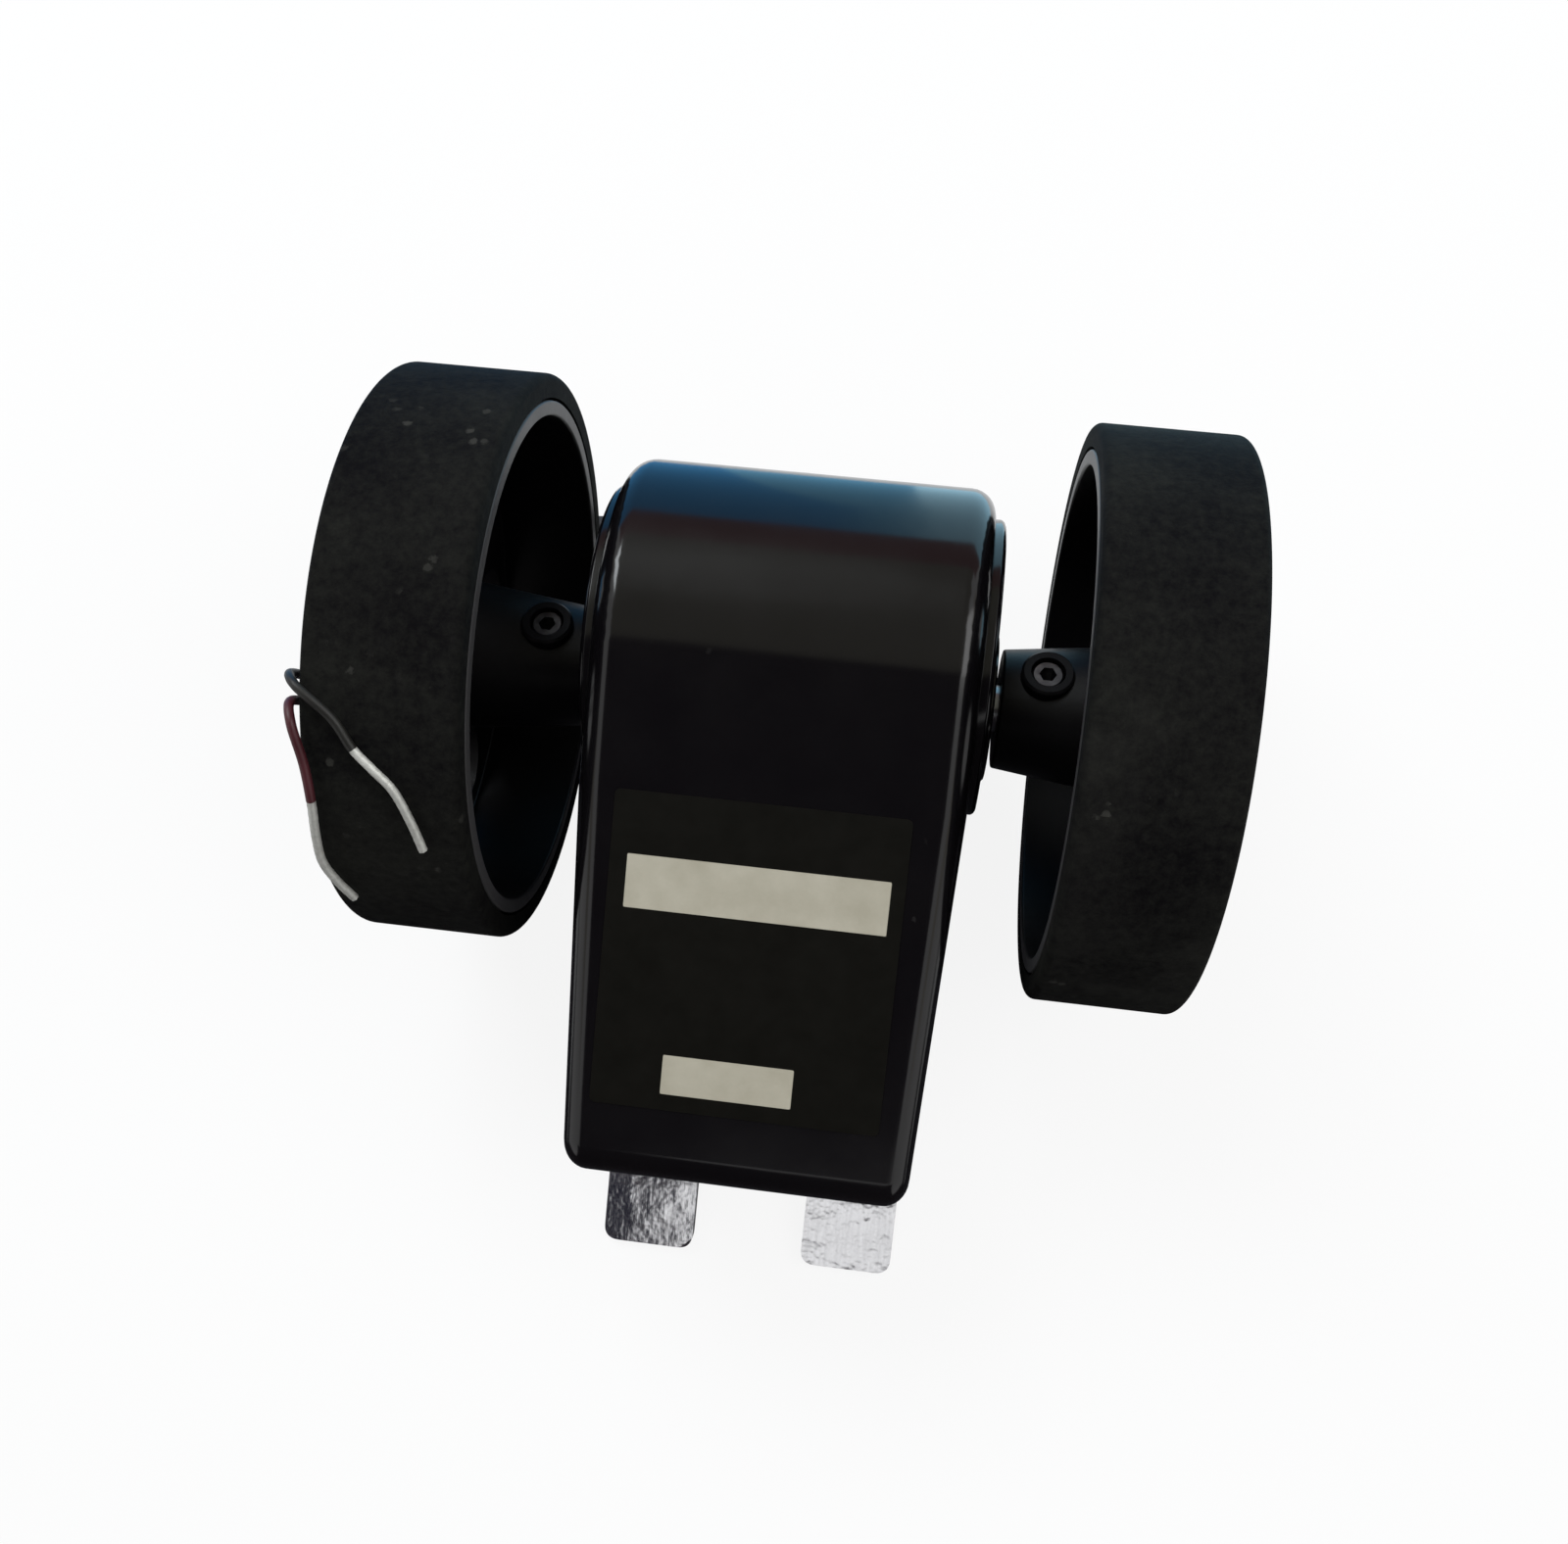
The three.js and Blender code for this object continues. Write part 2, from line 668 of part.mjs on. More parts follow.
function encoderDisc() {
  const outer = discRadius - slotMargin;
  const inner = outer - slotLength;
  const half = (turn / discSlots) * (slotFillShare / 2);
  const slots = Array.from({ length: discSlots }, (_, i) => {
    const angle = (turn * i) / discSlots;
    return [
      ...arc(0, 0, inner, angle - half, angle + half, 1),
      ...arc(0, 0, outer, angle + half, angle - half, 1),
    ];
  });
  const centre = circle(0, 0, discRegisterRadius + fit, ringFacets);
  const disc = plate(circle(0, 0, discRadius, discSlots), [centre, ...slots], 0, discThickness);
  return disc.rotateY(quarter).translate(discPlace - discThickness / 2, 0, 0);
}

function discHub() {
  const shaftBore = shaftMiddleRadius + fit;
  const end = discHubStart + discHubLength;
  const hub = turnedX(closed([
    [shaftBore, discPlace - discThickness / 2],
    [discRegisterRadius, discPlace - discThickness / 2],
    [discRegisterRadius, discHubStart],
    [discHubRadius, discHubStart],
    [discHubRadius, end],
    [shaftBore, end],
  ]), ringFacets);
  const middle = (discHubStart + end) / 2;
  return surface(cut(hub, barZ(discScrewRadius + fit, 0, discHubRadius + overrun, screwFacets, middle, 0)));
}

function circuitBoard() {
  const board = block(
    -boardHalfWidth,
    boardHalfWidth,
    -boardStart - boardLength,
    -boardStart,
    -boardUnder,
    -boardDepth,
  );
  const holes = boardScrews.map((place) => bore(boardScrewRadius + fit, -boardUnder - overrun, 0, place));
  return surface(cut(board, ...holes));
}

// The light barrier straddles the edge of the disc
function photoSensor() {
  const slotEnd = discRadius + (sensorSlot - discThickness) / 2;
  const body = block(
    discPlace - sensorWidth / 2,
    discPlace + sensorWidth / 2,
    -sensorEnd,
    -sensorStart,
    boardTop,
    sensorTop,
  );
  const slot = block(
    discPlace - sensorSlot / 2,
    discPlace + sensorSlot / 2,
    -slotEnd,
    overrun - sensorStart,
    boardTop - overrun,
    sensorTop + overrun,
  );
  return surface(cut(body, slot));
}

function pulseChip() {
  const half = chipWidth / 2;
  const pitch = chipLength / chipLegs;
  const body = block(-chipLength / 2, chipLength / 2, -half, half, boardTop, boardTop + chipHeight);
  const legs = Array.from({ length: chipLegs }, (_, i) => {
    const x = pitch * (i + 0.5) - chipLength / 2;
    const reach = half + chipLegReach;
    const legTop = boardTop + chipLegWidth;
    return block(x - chipLegWidth / 2, x + chipLegWidth / 2, -reach, reach, boardTop, legTop);
  });
  return surface(join(body, ...legs));
}

function smoothingCapacitor() {
  const top = boardTop + capacitorHeight;
  return surface(turnedZ([
    [0, boardTop],
    [capacitorRadius, boardTop],
    [capacitorRadius, top - capacitorChamfer],
    [capacitorRadius - capacitorChamfer, top],
    [0, top],
  ], holeFacets));
}

// A steel plate with two ears; its middle is open from the fork's root to the tips
function mountBracket() {
  const c = bracketCorner;
  const outline = [
    ...arc(bracketHalfWidth - c, -bracketStart - c, c, 0, quarter, cornerFacets),
    ...arc(c - bracketHalfWidth, -bracketStart - c, c, quarter, 2 * quarter, cornerFacets),
    ...arc(c - bracketHalfWidth, c - bracketTip, c, 2 * quarter, 3 * quarter, cornerFacets),
    ...arc(-forkHalfGap - c, c - bracketTip, c, 3 * quarter, turn, cornerFacets),
    ...arc(c - forkHalfGap, -forkRoot - c, c, 2 * quarter, quarter, cornerFacets),
    ...arc(forkHalfGap - c, -forkRoot - c, c, quarter, 0, cornerFacets),
    ...arc(forkHalfGap + c, c - bracketTip, c, 2 * quarter, 3 * quarter, cornerFacets),
    ...arc(bracketHalfWidth - c, c - bracketTip, c, 3 * quarter, turn, cornerFacets),
  ];
  const holes = [
    ...tailScrews.map(([x, y]) => circle(x, y, screwRadius + fit, screwFacets)),
    ...sides.map((side) => circle(side * mountHoleAcross, -mountHolePlace, mountHoleRadius, ringFacets)),
  ];
  return plate(outline, holes, -bracketUnder, -bracketTop);
}

// The outlet: a barrel through the wall, a flange and a grooved boot that narrows to its tip
function cableGland() {
  const channel = cableRadius + fit;
  const bootStart = glandStart + glandFlange;
  const pitch = (glandEnd - bootStart) / (glandGrooves + 1);
  const narrow = (glandBootRadius - glandTipRadius) / (glandEnd - bootStart);
  const grooves = Array.from({ length: glandGrooves }, (_, i) => {
    const place = bootStart + pitch * (i + 1);
    const radius = glandBootRadius - narrow * (place - bootStart);
    return [
      [radius, place - pitch / 4],
      [radius - glandGrooveDepth, place - pitch / 4],
      [radius - glandGrooveDepth, place + pitch / 4],
      [radius, place + pitch / 4],
    ];
  });
  return surface(turnedS(closed([
    [channel, stepPlace - wall],
    [glandBarrelRadius, stepPlace - wall],
    [glandBarrelRadius, glandStart],
    [glandFlangeRadius, glandStart],
    [glandFlangeRadius, bootStart],
    [glandBootRadius, bootStart],
    ...grooves.flat(),
    [glandTipRadius, glandEnd],
    [channel, glandEnd],
  ]), holeFacets));
}

// The cable's last stretch, through the gland and on as four leads to the circuit board
function cableInnerEnd() {
  const jacket = turnedS(bar(cableRadius, stubEnd, glandEnd), cableSides);
  const landing = boardTop + coreRadius + glandDepth;
  const leads = Array.from({ length: 4 }, (_, i) => {
    const start = (1.5 - i) * 2 * (coreRadius / 2 + coreRadius / 4);
    const end = leadAcross - leadPitch * i - glandAcross;
    const middle = (start + end) / 2;
    return solid(tube(through([
      [start, -stubEnd - cableRadius, 0],
      [start, -stubEnd, 0],
      [middle, leadBend - stubEnd, leadBend / 2],
      [end, leadBend - stubEnd, landing / 2],
      [end, -stubEnd, landing],
      [end, -boardStart + leadLanding, landing + leadLanding / 4],
      [end, -boardStart - leadLanding, landing],
    ]), coreRadius, leadSides, leadSteps));
  });
  return surface(join(jacket, ...leads));
}

// The free cable's coil: one strand that spirals in below and out again above
class CoilPath extends THREE.Curve {
  getPoint(share, target = new THREE.Vector3()) {
    const straight = cableWidth / coilRadius;
    const whole = turn * coilTurns;
    const angle = share * (whole + 2 * straight) - straight;
    const held = THREE.MathUtils.clamp(angle, 0, whole);
    const turns = held / turn;
    const middle = coilTurns / 2;
    const radius = coilRadius - turnPitch * (middle - Math.abs(turns - middle));
    const climb = THREE.MathUtils.smoothstep(turns, middle - 0.5, middle + 0.5);
    const ahead = (angle - held) * coilRadius;
    return target.set(
      coilAcross + radius * Math.cos(held) - ahead * Math.sin(held),
      coilAlong + radius * Math.sin(held) + ahead * Math.cos(held),
      lowerLayer + turnPitch * climb,
    );
  }
}

function cableCoil() {
  const path = new CoilPath();
  const steps = Math.round(coilTurns * coilStepsPerTurn);
  const points = path.getSpacedPoints(4 * steps);
  const apart = Math.ceil((4 * turnPitch) / points[0].distanceTo(points[1]));
  let least = Infinity;
  for (let i = 0; i < points.length; i += 1) {
    for (let j = i + apart; j < points.length; j += 1) {
      least = Math.min(least, points[i].distanceTo(points[j]) - cableWidth);
    }
  }
  console.log(`cable coil: ${path.getLength().toFixed(0)} mm, least gap to itself ${least.toFixed(2)} mm`);
  return tube(path, cableRadius, coilSides, steps);
}

// A flat band round both layers of the coil
function coilTie() {
  const near = coilRadius - (turnPitch * coilTurns) / 2 - cableRadius - tieSlack;
  const far = coilRadius - (turnPitch * tieAngle) / turn + cableRadius + tieSlack;
  const low = lowerLayer - cableRadius - fit;
  const high = upperLayer + cableRadius + fit;
  const frame = (grow) => [
    new THREE.Vector2(near - grow, low - grow),
    new THREE.Vector2(far + grow, low - grow),
    new THREE.Vector2(far + grow, high + grow),
    new THREE.Vector2(near - grow, high + grow),
  ];
  const band = plate(frame(tieThickness), [frame(0)], -tieWidth / 2, tieWidth / 2);
  return band.rotateX(quarter).rotateZ(tieAngle).translate(coilAcross, coilAlong, 0);
}

// A point of the tilted housing, at s and h, as it lies over the table
const onTable = (x, s, h) => [
  x,
  -s * Math.cos(tilt) - h * Math.sin(tilt),
  tyreRadius - s * Math.sin(tilt) + h * Math.cos(tilt),
];

// From the gland down to the table, round in a bow and up to the coil
const runRoute = [
  onTable(glandAcross, glandEnd + fit, -glandDepth),
  onTable(glandAcross, glandEnd + fit + cableWidth, -glandDepth),
  [-3, -32, 8.6],
  [-3, -37, 6.4],
  [-3, -42, 4.4],
  [0.2, -49.8, 2.4],
  [8, -53, 1.85],
  [15.8, -49.8, 1.85],
  [19, -42, 1.85],
  [20.4, -28, 1.85],
  [21.4, -12, 2.2],
  [coilAcross + coilRadius, coilAlong - 3 * cableWidth, lowerLayer],
  [coilAcross + coilRadius, coilAlong - cableWidth - fit, lowerLayer],
];

// From the coil out under the left wheel to the stripped end
const tailRoute = [
  [coilAcross - cableWidth - fit, coilAlong + coilRadius, upperLayer],
  [coilAcross - 2 * cableWidth, coilAlong + coilRadius, upperLayer - fit],
  [-18, 34, 4.8],
  [-25, 32, 2.9],
  [-33, 30, 1.9],
  [-42, 29, 1.85],
  [-50, 27.2, 1.85],
  [-56, 22.5, 1.85],
  [-58.5, 15, 1.85],
  [-58.5, 8.3, 1.85],
];

// Four cores leave the jacket: two hang over the left wheel and two lie on the table
const coreRoutes = {
  core_black: [
    [-59.15, 8, 2.5],
    [-59.1, 4, 2.9],
    [-58.6, 0, 6],
    [-57.6, -3, 14],
    [-56.6, -5.4, 27],
    [-55.8, -7.2, 42],
    [-55.1, -8.6, 56],
    [-54.4, -9.5, 65.5],
    [-52.8, -10.4, 71.8],
    [-50.2, -12.4, 73],
    [-47, -16.1, 70.5],
    [-44.9, -18.9, 68.8],
    [-42.8, -20.7, 67.8],
    [-40.7, -22.5, 66.5],
    [-39, -25.5, 63.9],
    [-37.9, -28.4, 61],
  ],
  core_brown: [
    [-57.85, 8, 2.5],
    [-57.7, 4, 3.3],
    [-56.7, -0.2, 8],
    [-55.3, -4.2, 18],
    [-54.5, -7, 32],
    [-54.1, -9.3, 46],
    [-53.9, -11, 58],
    [-53.8, -12, 66],
    [-52.9, -13, 70.6],
    [-51.2, -16, 71],
    [-50.6, -20.9, 67.6],
    [-50.2, -24.6, 64.8],
    [-50.4, -28.3, 61.1],
    [-50.4, -30.8, 57.9],
    [-49.4, -32.7, 54.8],
    [-48.1, -34.2, 52],
  ],
  core_white: [
    [-59.15, 8, 1.2],
    [-59.4, 3.5, 0.9],
    [-59.6, -3, 0.6],
    [-60.4, -8.6, 0.6],
    [-63.2, -11.6, 0.6],
    [-66.2, -9, 0.6],
    [-67, -2, 0.6],
    [-66.8, 9, 0.6],
    [-66, 22, 0.6],
    [-64.4, 35, 0.6],
  ],
  core_blue: [
    [-57.85, 8, 1.2],
    [-57.6, 3.5, 0.9],
    [-57.3, -4, 0.6],
    [-57.5, -11, 0.6],
    [-60, -16, 0.6],
    [-64.6, -16.8, 0.6],
    [-68.4, -12.8, 0.6],
    [-69.6, -5, 0.6],
    [-69.6, 7, 0.6],
    [-69, 20, 0.6],
    [-67.6, 34, 0.6],
  ],
};

// Materials
const finish = (color, roughness, metalness = 0) => ({ color, roughness, metalness });
const glossyBlack = finish(0x17161a, 0.25);
const blackRim = finish(0x0e0c10, 0.4);
const rubber = finish(0x1e1e1f, 0.92);
const steel = finish(0xa6a7aa, 0.35, 1);
const darkSteel = finish(0x2b2b2e, 0.45, 1);
const plated = finish(0xb4b4b8, 0.22, 1);
const lightAlloy = finish(0xb9babc, 0.4, 1);
const boardGreen = finish(0x1f4d33, 0.6);
const blackResin = finish(0x141416, 0.5);
const blackSleeve = finish(0x16181c, 0.4);
const jacketGrey = finish(0x26262a, 0.6);
const tieWhite = finish(0xd8d8d4, 0.5);
const coreFinishes = {
  core_black: finish(0x26251f, 0.5),
  core_brown: finish(0x40252a, 0.5),
  core_white: finish(0xcfcfca, 0.5),
  core_blue: finish(0x22406e, 0.5),
};

function piece(parent, name, geometry, look, x = 0, y = 0, z = 0) {
  const mesh = new THREE.Mesh(geometry, new THREE.MeshStandardMaterial(look));
  mesh.name = name;
  mesh.position.set(x, y, z);
  parent.add(mesh);
  return mesh;
}

const counter = new THREE.Group();
const housing = new THREE.Group();
const axle = new THREE.Group();
const cable = new THREE.Group();
housing.position.set(0, middleAlong, tyreRadius);
housing.rotation.x = tilt;
axle.position.set(0, middleAlong, tyreRadius);
cable.position.set(0, middleAlong, 0);
counter.add(housing, axle, cable);

// Housing and what it holds
const hollow = hollowHousing();
piece(housing, 'front_shell', frontShell(hollow), glossyBlack);
piece(housing, 'rear_shell', rearShell(hollow), glossyBlack);
piece(housing, 'mount_bracket', mountBracket(), plated);
for (const [i, hand] of ['left', 'right'].entries()) {
  const [shellScrew, bracketScrew] = [headScrewSeat, bracketUnder].map((seat) => (
    machineScrew(screwRadius, screwHeadRadius, screwHeadHeight, -seat - fit, screwReach)));
  const x = sides[i] * bearingMiddle;
  piece(housing, `shell_screw_${hand}`, shellScrew, steel, ...headScrews[i]);
  piece(housing, `bracket_screw_${hand}`, bracketScrew, steel, ...tailScrews[i]);
  piece(housing, `${hand}_outer_ring`, bearingRing(bearingRadius, 1), steel, x);
}
piece(housing, 'circuit_board', circuitBoard(), boardGreen);
piece(housing, 'photo_sensor', photoSensor(), blackResin);
piece(housing, 'pulse_chip', pulseChip(), blackResin, 0, -boardStart - chipInset);
piece(
  housing,
  'smoothing_capacitor',
  smoothingCapacitor(),
  blackSleeve,
  capacitorAcross,
  -boardStart - capacitorInset,
);
for (const [i, place] of boardScrews.entries()) {
  const screw = machineScrew(boardScrewRadius, boardScrewHead, boardScrewHeadHeight, 0, boardScrewLength);
  piece(housing, `board_screw_${i + 1}`, screw.rotateX(2 * quarter), steel, ...place, boardTop);
}
piece(housing, 'cable_gland', cableGland(), blackResin, glandAcross, 0, -glandDepth);
piece(housing, 'cable_inner_end', cableInnerEnd(), jacketGrey, glandAcross, 0, -glandDepth);

// Axle: the shaft and all that turns with it
piece(axle, 'shaft', shaft(), steel);
piece(axle, 'encoder_disc', encoderDisc(), darkSteel);
piece(axle, 'disc_hub', discHub(), lightAlloy);
const discScrew = grubScrew(discScrewRadius, discScrewSocket, shaftMiddleRadius + fit, discHubRadius);
piece(axle, 'disc_hub_screw', discScrew, steel, discHubStart + discHubLength / 2);
const hands = { left: mirrored, right: (geometry) => geometry };
for (const [i, [hand, handed]] of Object.entries(hands).entries()) {
  const x = sides[i] * bearingMiddle;
  const hubScrew = grubScrew(hubScrewRadius, hubScrewSocket, shaftRadius + fit, hubPadFace - hubScrewSunk);
  piece(axle, `${hand}_rim`, handed(rim()), blackRim);
  piece(axle, `${hand}_tyre`, handed(tyre()), rubber);
  piece(axle, `${hand}_hub_screw`, hubScrew.rotateX(-hubScrewLean), darkSteel, sides[i] * hubScrewPlace);
  piece(axle, `${hand}_inner_ring`, bearingRing(shaftRadius + fit, -1), steel, x);
  piece(axle, `${hand}_ball_cage`, ballCage(), steel, x);
}

// Cable on the table
const stepsFor = (path, width) => Math.round(path.getLength() / (cableStepShare * width));
function cord(name, points, radius, look) {
  const path = through(points);
  piece(cable, name, tube(path, radius, cableSides, stepsFor(path, 2 * radius)), look);
}
cord('cable_run', runRoute, cableRadius, jacketGrey);
piece(cable, 'cable_coil', cableCoil(), jacketGrey);
piece(cable, 'coil_tie', coilTie(), tieWhite);
cord('cable_tail', tailRoute, cableRadius, jacketGrey);
for (const [name, points] of Object.entries(coreRoutes)) {
  cord(name, points, coreRadius, coreFinishes[name]);
}

export default counter;
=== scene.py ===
# %% [markdown]
# # Length counter
# A twin-wheel length counter lies on its tyres and on the tips of its bracket.
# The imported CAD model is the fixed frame. What shows gets a finer mesh over it, and every
# piece gets a material of its own.
# Everything is in metres, in the frame of the CAD model: X along the shaft, Z up, tail to -Y.

import math

import bmesh
import bpy
import numpy as np
from mathutils import Matrix, Vector


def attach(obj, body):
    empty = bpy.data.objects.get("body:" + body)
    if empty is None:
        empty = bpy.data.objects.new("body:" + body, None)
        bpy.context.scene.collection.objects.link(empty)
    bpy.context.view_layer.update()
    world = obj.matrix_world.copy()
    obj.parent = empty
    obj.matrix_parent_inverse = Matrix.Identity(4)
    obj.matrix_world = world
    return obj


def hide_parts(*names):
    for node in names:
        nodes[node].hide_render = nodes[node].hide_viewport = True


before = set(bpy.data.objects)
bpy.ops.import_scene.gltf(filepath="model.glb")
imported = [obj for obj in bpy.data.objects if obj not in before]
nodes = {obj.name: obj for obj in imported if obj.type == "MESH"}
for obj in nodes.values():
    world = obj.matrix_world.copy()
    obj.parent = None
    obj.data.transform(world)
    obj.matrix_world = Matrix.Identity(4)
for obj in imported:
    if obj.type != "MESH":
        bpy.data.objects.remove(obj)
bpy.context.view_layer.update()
scene = bpy.context.scene

# %% [markdown]
# ## Sizes
# These are the sizes of the CAD model that the finer pieces need, in metres.
# A place s runs from the shaft down to the tail, and a height h up to the front face.

# %% Sizes
MM = 0.001
TURN = 2 * math.pi
QUARTER = math.pi / 2
TYRE_RADIUS = 228.6 * MM / TURN
TILT = math.radians(14.6149)
ALONG = 20.515 * MM
HOUSING = Matrix.Translation((0, ALONG, TYRE_RADIUS)) @ Matrix.Rotation(TILT, 4, "X")
AXLE = Matrix.Translation((0, ALONG, TYRE_RADIUS))
TABLE = Matrix.Translation((0, ALONG, 0))
HALF_WIDTH = 23 * MM
TAIL_HALF_WIDTH = 21.1 * MM
TAPER_START = 12 * MM
FRONT = 23.2 * MM
BACK = 22 * MM
HEAD_OFFSET = 4 * MM
TAIL = 60.5 * MM
TAIL_BACK = 13.5 * MM
STEP = 17 * MM
REAR_EDGE = 1.6 * MM
STEP_HOLLOW = 0.6 * MM
LEAST_RADIUS = 0.4 * MM
WALL = 2.5 * MM
EDGE = 3.2 * MM
CORNER = 4.2 * MM
SEAM = 0.3 * MM
FIT = 0.3 * MM
CHEEK = 1.4 * MM
COLLAR_RADIUS = 9.5 * MM
COLLAR_FACE = 25.3 * MM
COLLAR_EDGE = 0.25 * MM
BOSS_RADIUS = 11.8 * MM
BEARING_RADIUS = 9.8 * MM
SHAFT_HOLE = 4.2 * MM
SCREW_SIDE = 15 * MM
HEAD_SCREW = 16.4 * MM
TAIL_SCREW = 51 * MM
SCREW_HOLE = 1.7 * MM
OUTLET_DEPTH = 17.2 * MM
WHEEL_INNER = 33.6 * MM
WHEEL_OUTER = 51.6 * MM
RIM_RADIUS = TYRE_RADIUS - 3.2 * MM
RIM_WALL = 1.9 * MM
TAP_LEAN = math.radians(22)
print("tyre radius", round(TYRE_RADIUS / MM, 2), "mm")

# %% [markdown]
# ## Camera
# The camera stands over the tail and looks steeply down on the front face.
# Its place and lens come from a fit to the wheels, the housing and the label in the photograph.

# %% Camera
CAMERA_PLACE = (0.01486, -0.02153, 0.2310)
CAMERA_TURN = (7.1819, 3.3073, 6.7408)  # degrees about X, Y and Z
CAMERA_LENS = 35.19
CAMERA_SHIFT = 0.0388

camera_data = bpy.data.cameras.new("camera")
camera = bpy.data.objects.new("camera", camera_data)
scene.collection.objects.link(camera)
camera.location = CAMERA_PLACE
camera.rotation_euler = [math.radians(angle) for angle in CAMERA_TURN]
camera_data.sensor_width = 36
camera_data.lens = CAMERA_LENS
camera_data.shift_y = CAMERA_SHIFT
camera_data.clip_start = 0.01
camera_data.clip_end = 20
scene.camera = camera
print("camera height", round(camera.location.z, 3))


# %% [markdown]
# ## Mesh helpers
# A piece is made from points and faces, turned about the shaft's line, lofted or swept along a
# path. Cuts and joins are applied at once, so every piece ends as one plain mesh.

# %% Mesh helpers
SAME_PLACE = 1e-7
SLIVER = 3e-6
STRAIGHT = math.radians(175)
LONGEST_CUT = 0.48  # the share of a side that the arc at its end may take


def make(name, points, faces, matrix=Matrix.Identity(4)):
    mesh = bpy.data.meshes.new(name)
    mesh.from_pydata([tuple(point) for point in points], [], [list(face) for face in faces])
    built = bmesh.new()
    built.from_mesh(mesh)
    bmesh.ops.remove_doubles(built, verts=built.verts, dist=SAME_PLACE)
    bmesh.ops.recalc_face_normals(built, faces=built.faces)
    built.to_mesh(mesh)
    built.free()
    thing = bpy.data.objects.new(name, mesh)
    scene.collection.objects.link(thing)
    thing.matrix_world = matrix
    return smooth(thing)


def smooth(thing, sharp=35):
    thing.data.shade_smooth()
    thing.data.set_sharp_from_angle(angle=math.radians(sharp))
    return thing


def settle(thing):
    """The piece with its modifiers applied."""
    graph = bpy.context.evaluated_depsgraph_get()
    mesh = bpy.data.meshes.new_from_object(thing.evaluated_get(graph))
    thing.modifiers.clear()
    thing.data = mesh
    return smooth(thing)


def combine(thing, operation, *others):
    """The piece joined with the others, cut by them or kept within them, which are used up."""
    for other in others:
        modifier = thing.modifiers.new(operation.lower(), "BOOLEAN")
        modifier.operation = operation
        modifier.solver = "MANIFOLD"
        modifier.object = other
        bpy.context.view_layer.update()
        settle(thing)
        bpy.data.objects.remove(other)
    return thing


def bevel(thing, width, segments=3, angle=40):
    modifier = thing.modifiers.new("edges", "BEVEL")
    modifier.width = width
    modifier.segments = segments
    modifier.limit_method = "ANGLE"
    modifier.angle_limit = math.radians(angle)
    modifier.use_clamp_overlap = True
    return settle(thing)


def finished(thing):
    """Takes out the slivers that cuts leave, and shades each wide face by its own direction."""
    built = bmesh.new()
    built.from_mesh(thing.data)
    bmesh.ops.remove_doubles(built, verts=built.verts, dist=SLIVER)
    bmesh.ops.dissolve_degenerate(built, edges=built.edges, dist=SLIVER)
    bmesh.ops.triangulate(built, faces=built.faces)
    bmesh.ops.remove_doubles(built, verts=built.verts, dist=SLIVER)
    bmesh.ops.dissolve_degenerate(built, edges=built.edges, dist=SLIVER)
    unpaired = sum(len(edge.link_faces) != 2 for edge in built.edges)
    built.to_mesh(thing.data)
    built.free()
    print(thing.name, "has", unpaired, "edges without two faces")
    smooth(thing)
    modifier = thing.modifiers.new("wide_faces_flat", "WEIGHTED_NORMAL")
    modifier.weight = 90
    modifier.keep_sharp = True
    return thing


def arc(across, along, radius, start, end, facets):
    angles = np.linspace(start, end, facets + 1)
    return [(across + radius * math.cos(a), along + radius * math.sin(a)) for a in angles]


def rounded(outline, radius, facets=4):
    """The closed outline with each corner turned into a small arc."""
    points = [Vector(point) for point in outline]
    result = []
    for i, corner in enumerate(points):
        before = points[i - 1] - corner
        after = points[(i + 1) % len(points)] - corner
        angle = before.angle(after, math.pi)
        if angle > STRAIGHT:
            result.append(tuple(corner))
            continue
        longest = LONGEST_CUT * min(before.length, after.length)
        reach = min(radius / math.tan(angle / 2), longest)
        first = corner + before.normalized() * reach
        last = corner + after.normalized() * reach
        for k in range(facets + 1):
            t = k / facets
            point = first * (1 - t) ** 2 + corner * (2 * t * (1 - t)) + last * t ** 2
            result.append(tuple(point))
    return result


def turned(name, profile, facets, matrix=Matrix.Identity(4)):
    """A piece turned about X from (radius, place) pairs, whose outline closes on itself."""
    count = len(profile)
    points = []
    for k in range(facets):
        angle = TURN * k / facets
        points += [(x, r * math.sin(angle), r * math.cos(angle)) for r, x in profile]
    faces = []
    for k in range(facets):
        here, there = k * count, ((k + 1) % facets) * count
        for i in range(count):
            j = (i + 1) % count
            if profile[i][0] or profile[j][0]:
                faces.append((here + i, here + j, there + j, there + i))
    return make(name, points, faces, matrix)


def bar(name, radius, start, end, facets, matrix=Matrix.Identity(4), edge=0.0):
    """A round bar along X, its end edges chamfered by edge."""
    profile = [(0, start), (radius - edge, start), (radius, start + edge)]
    profile += [(radius, end - edge), (radius - edge, end), (0, end)]
    if not edge:
        profile = [(0, start), (radius, start), (radius, end), (0, end)]
    return turned(name, profile, facets, matrix)


def block(name, x0, x1, y0, y1, z0, z1, matrix=Matrix.Identity(4)):
    points = [(x, y, z) for x in (x0, x1) for y in (y0, y1) for z in (z0, z1)]
    faces = [(0, 1, 3, 2), (4, 6, 7, 5), (0, 4, 5, 1), (2, 3, 7, 6), (0, 2, 6, 4), (1, 5, 7, 3)]
    return make(name, points, faces, matrix)


def loft(name, sections, matrix=Matrix.Identity(4)):
    """A skin through like outlines of (y, z), each at its own x, with a cap at both ends."""
    count = len(sections[0][1])
    points = [(x, y, z) for x, outline in sections for y, z in outline]
    faces = []
    for s in range(len(sections) - 1):
        for i in range(count):
            a, b = s * count + i, s * count + (i + 1) % count
            faces.append((a, b, b + count, a + count))
    faces.append(tuple(range(count)))
    faces.append(tuple(range((len(sections) - 1) * count, len(sections) * count)))
    return make(name, points, faces, matrix)


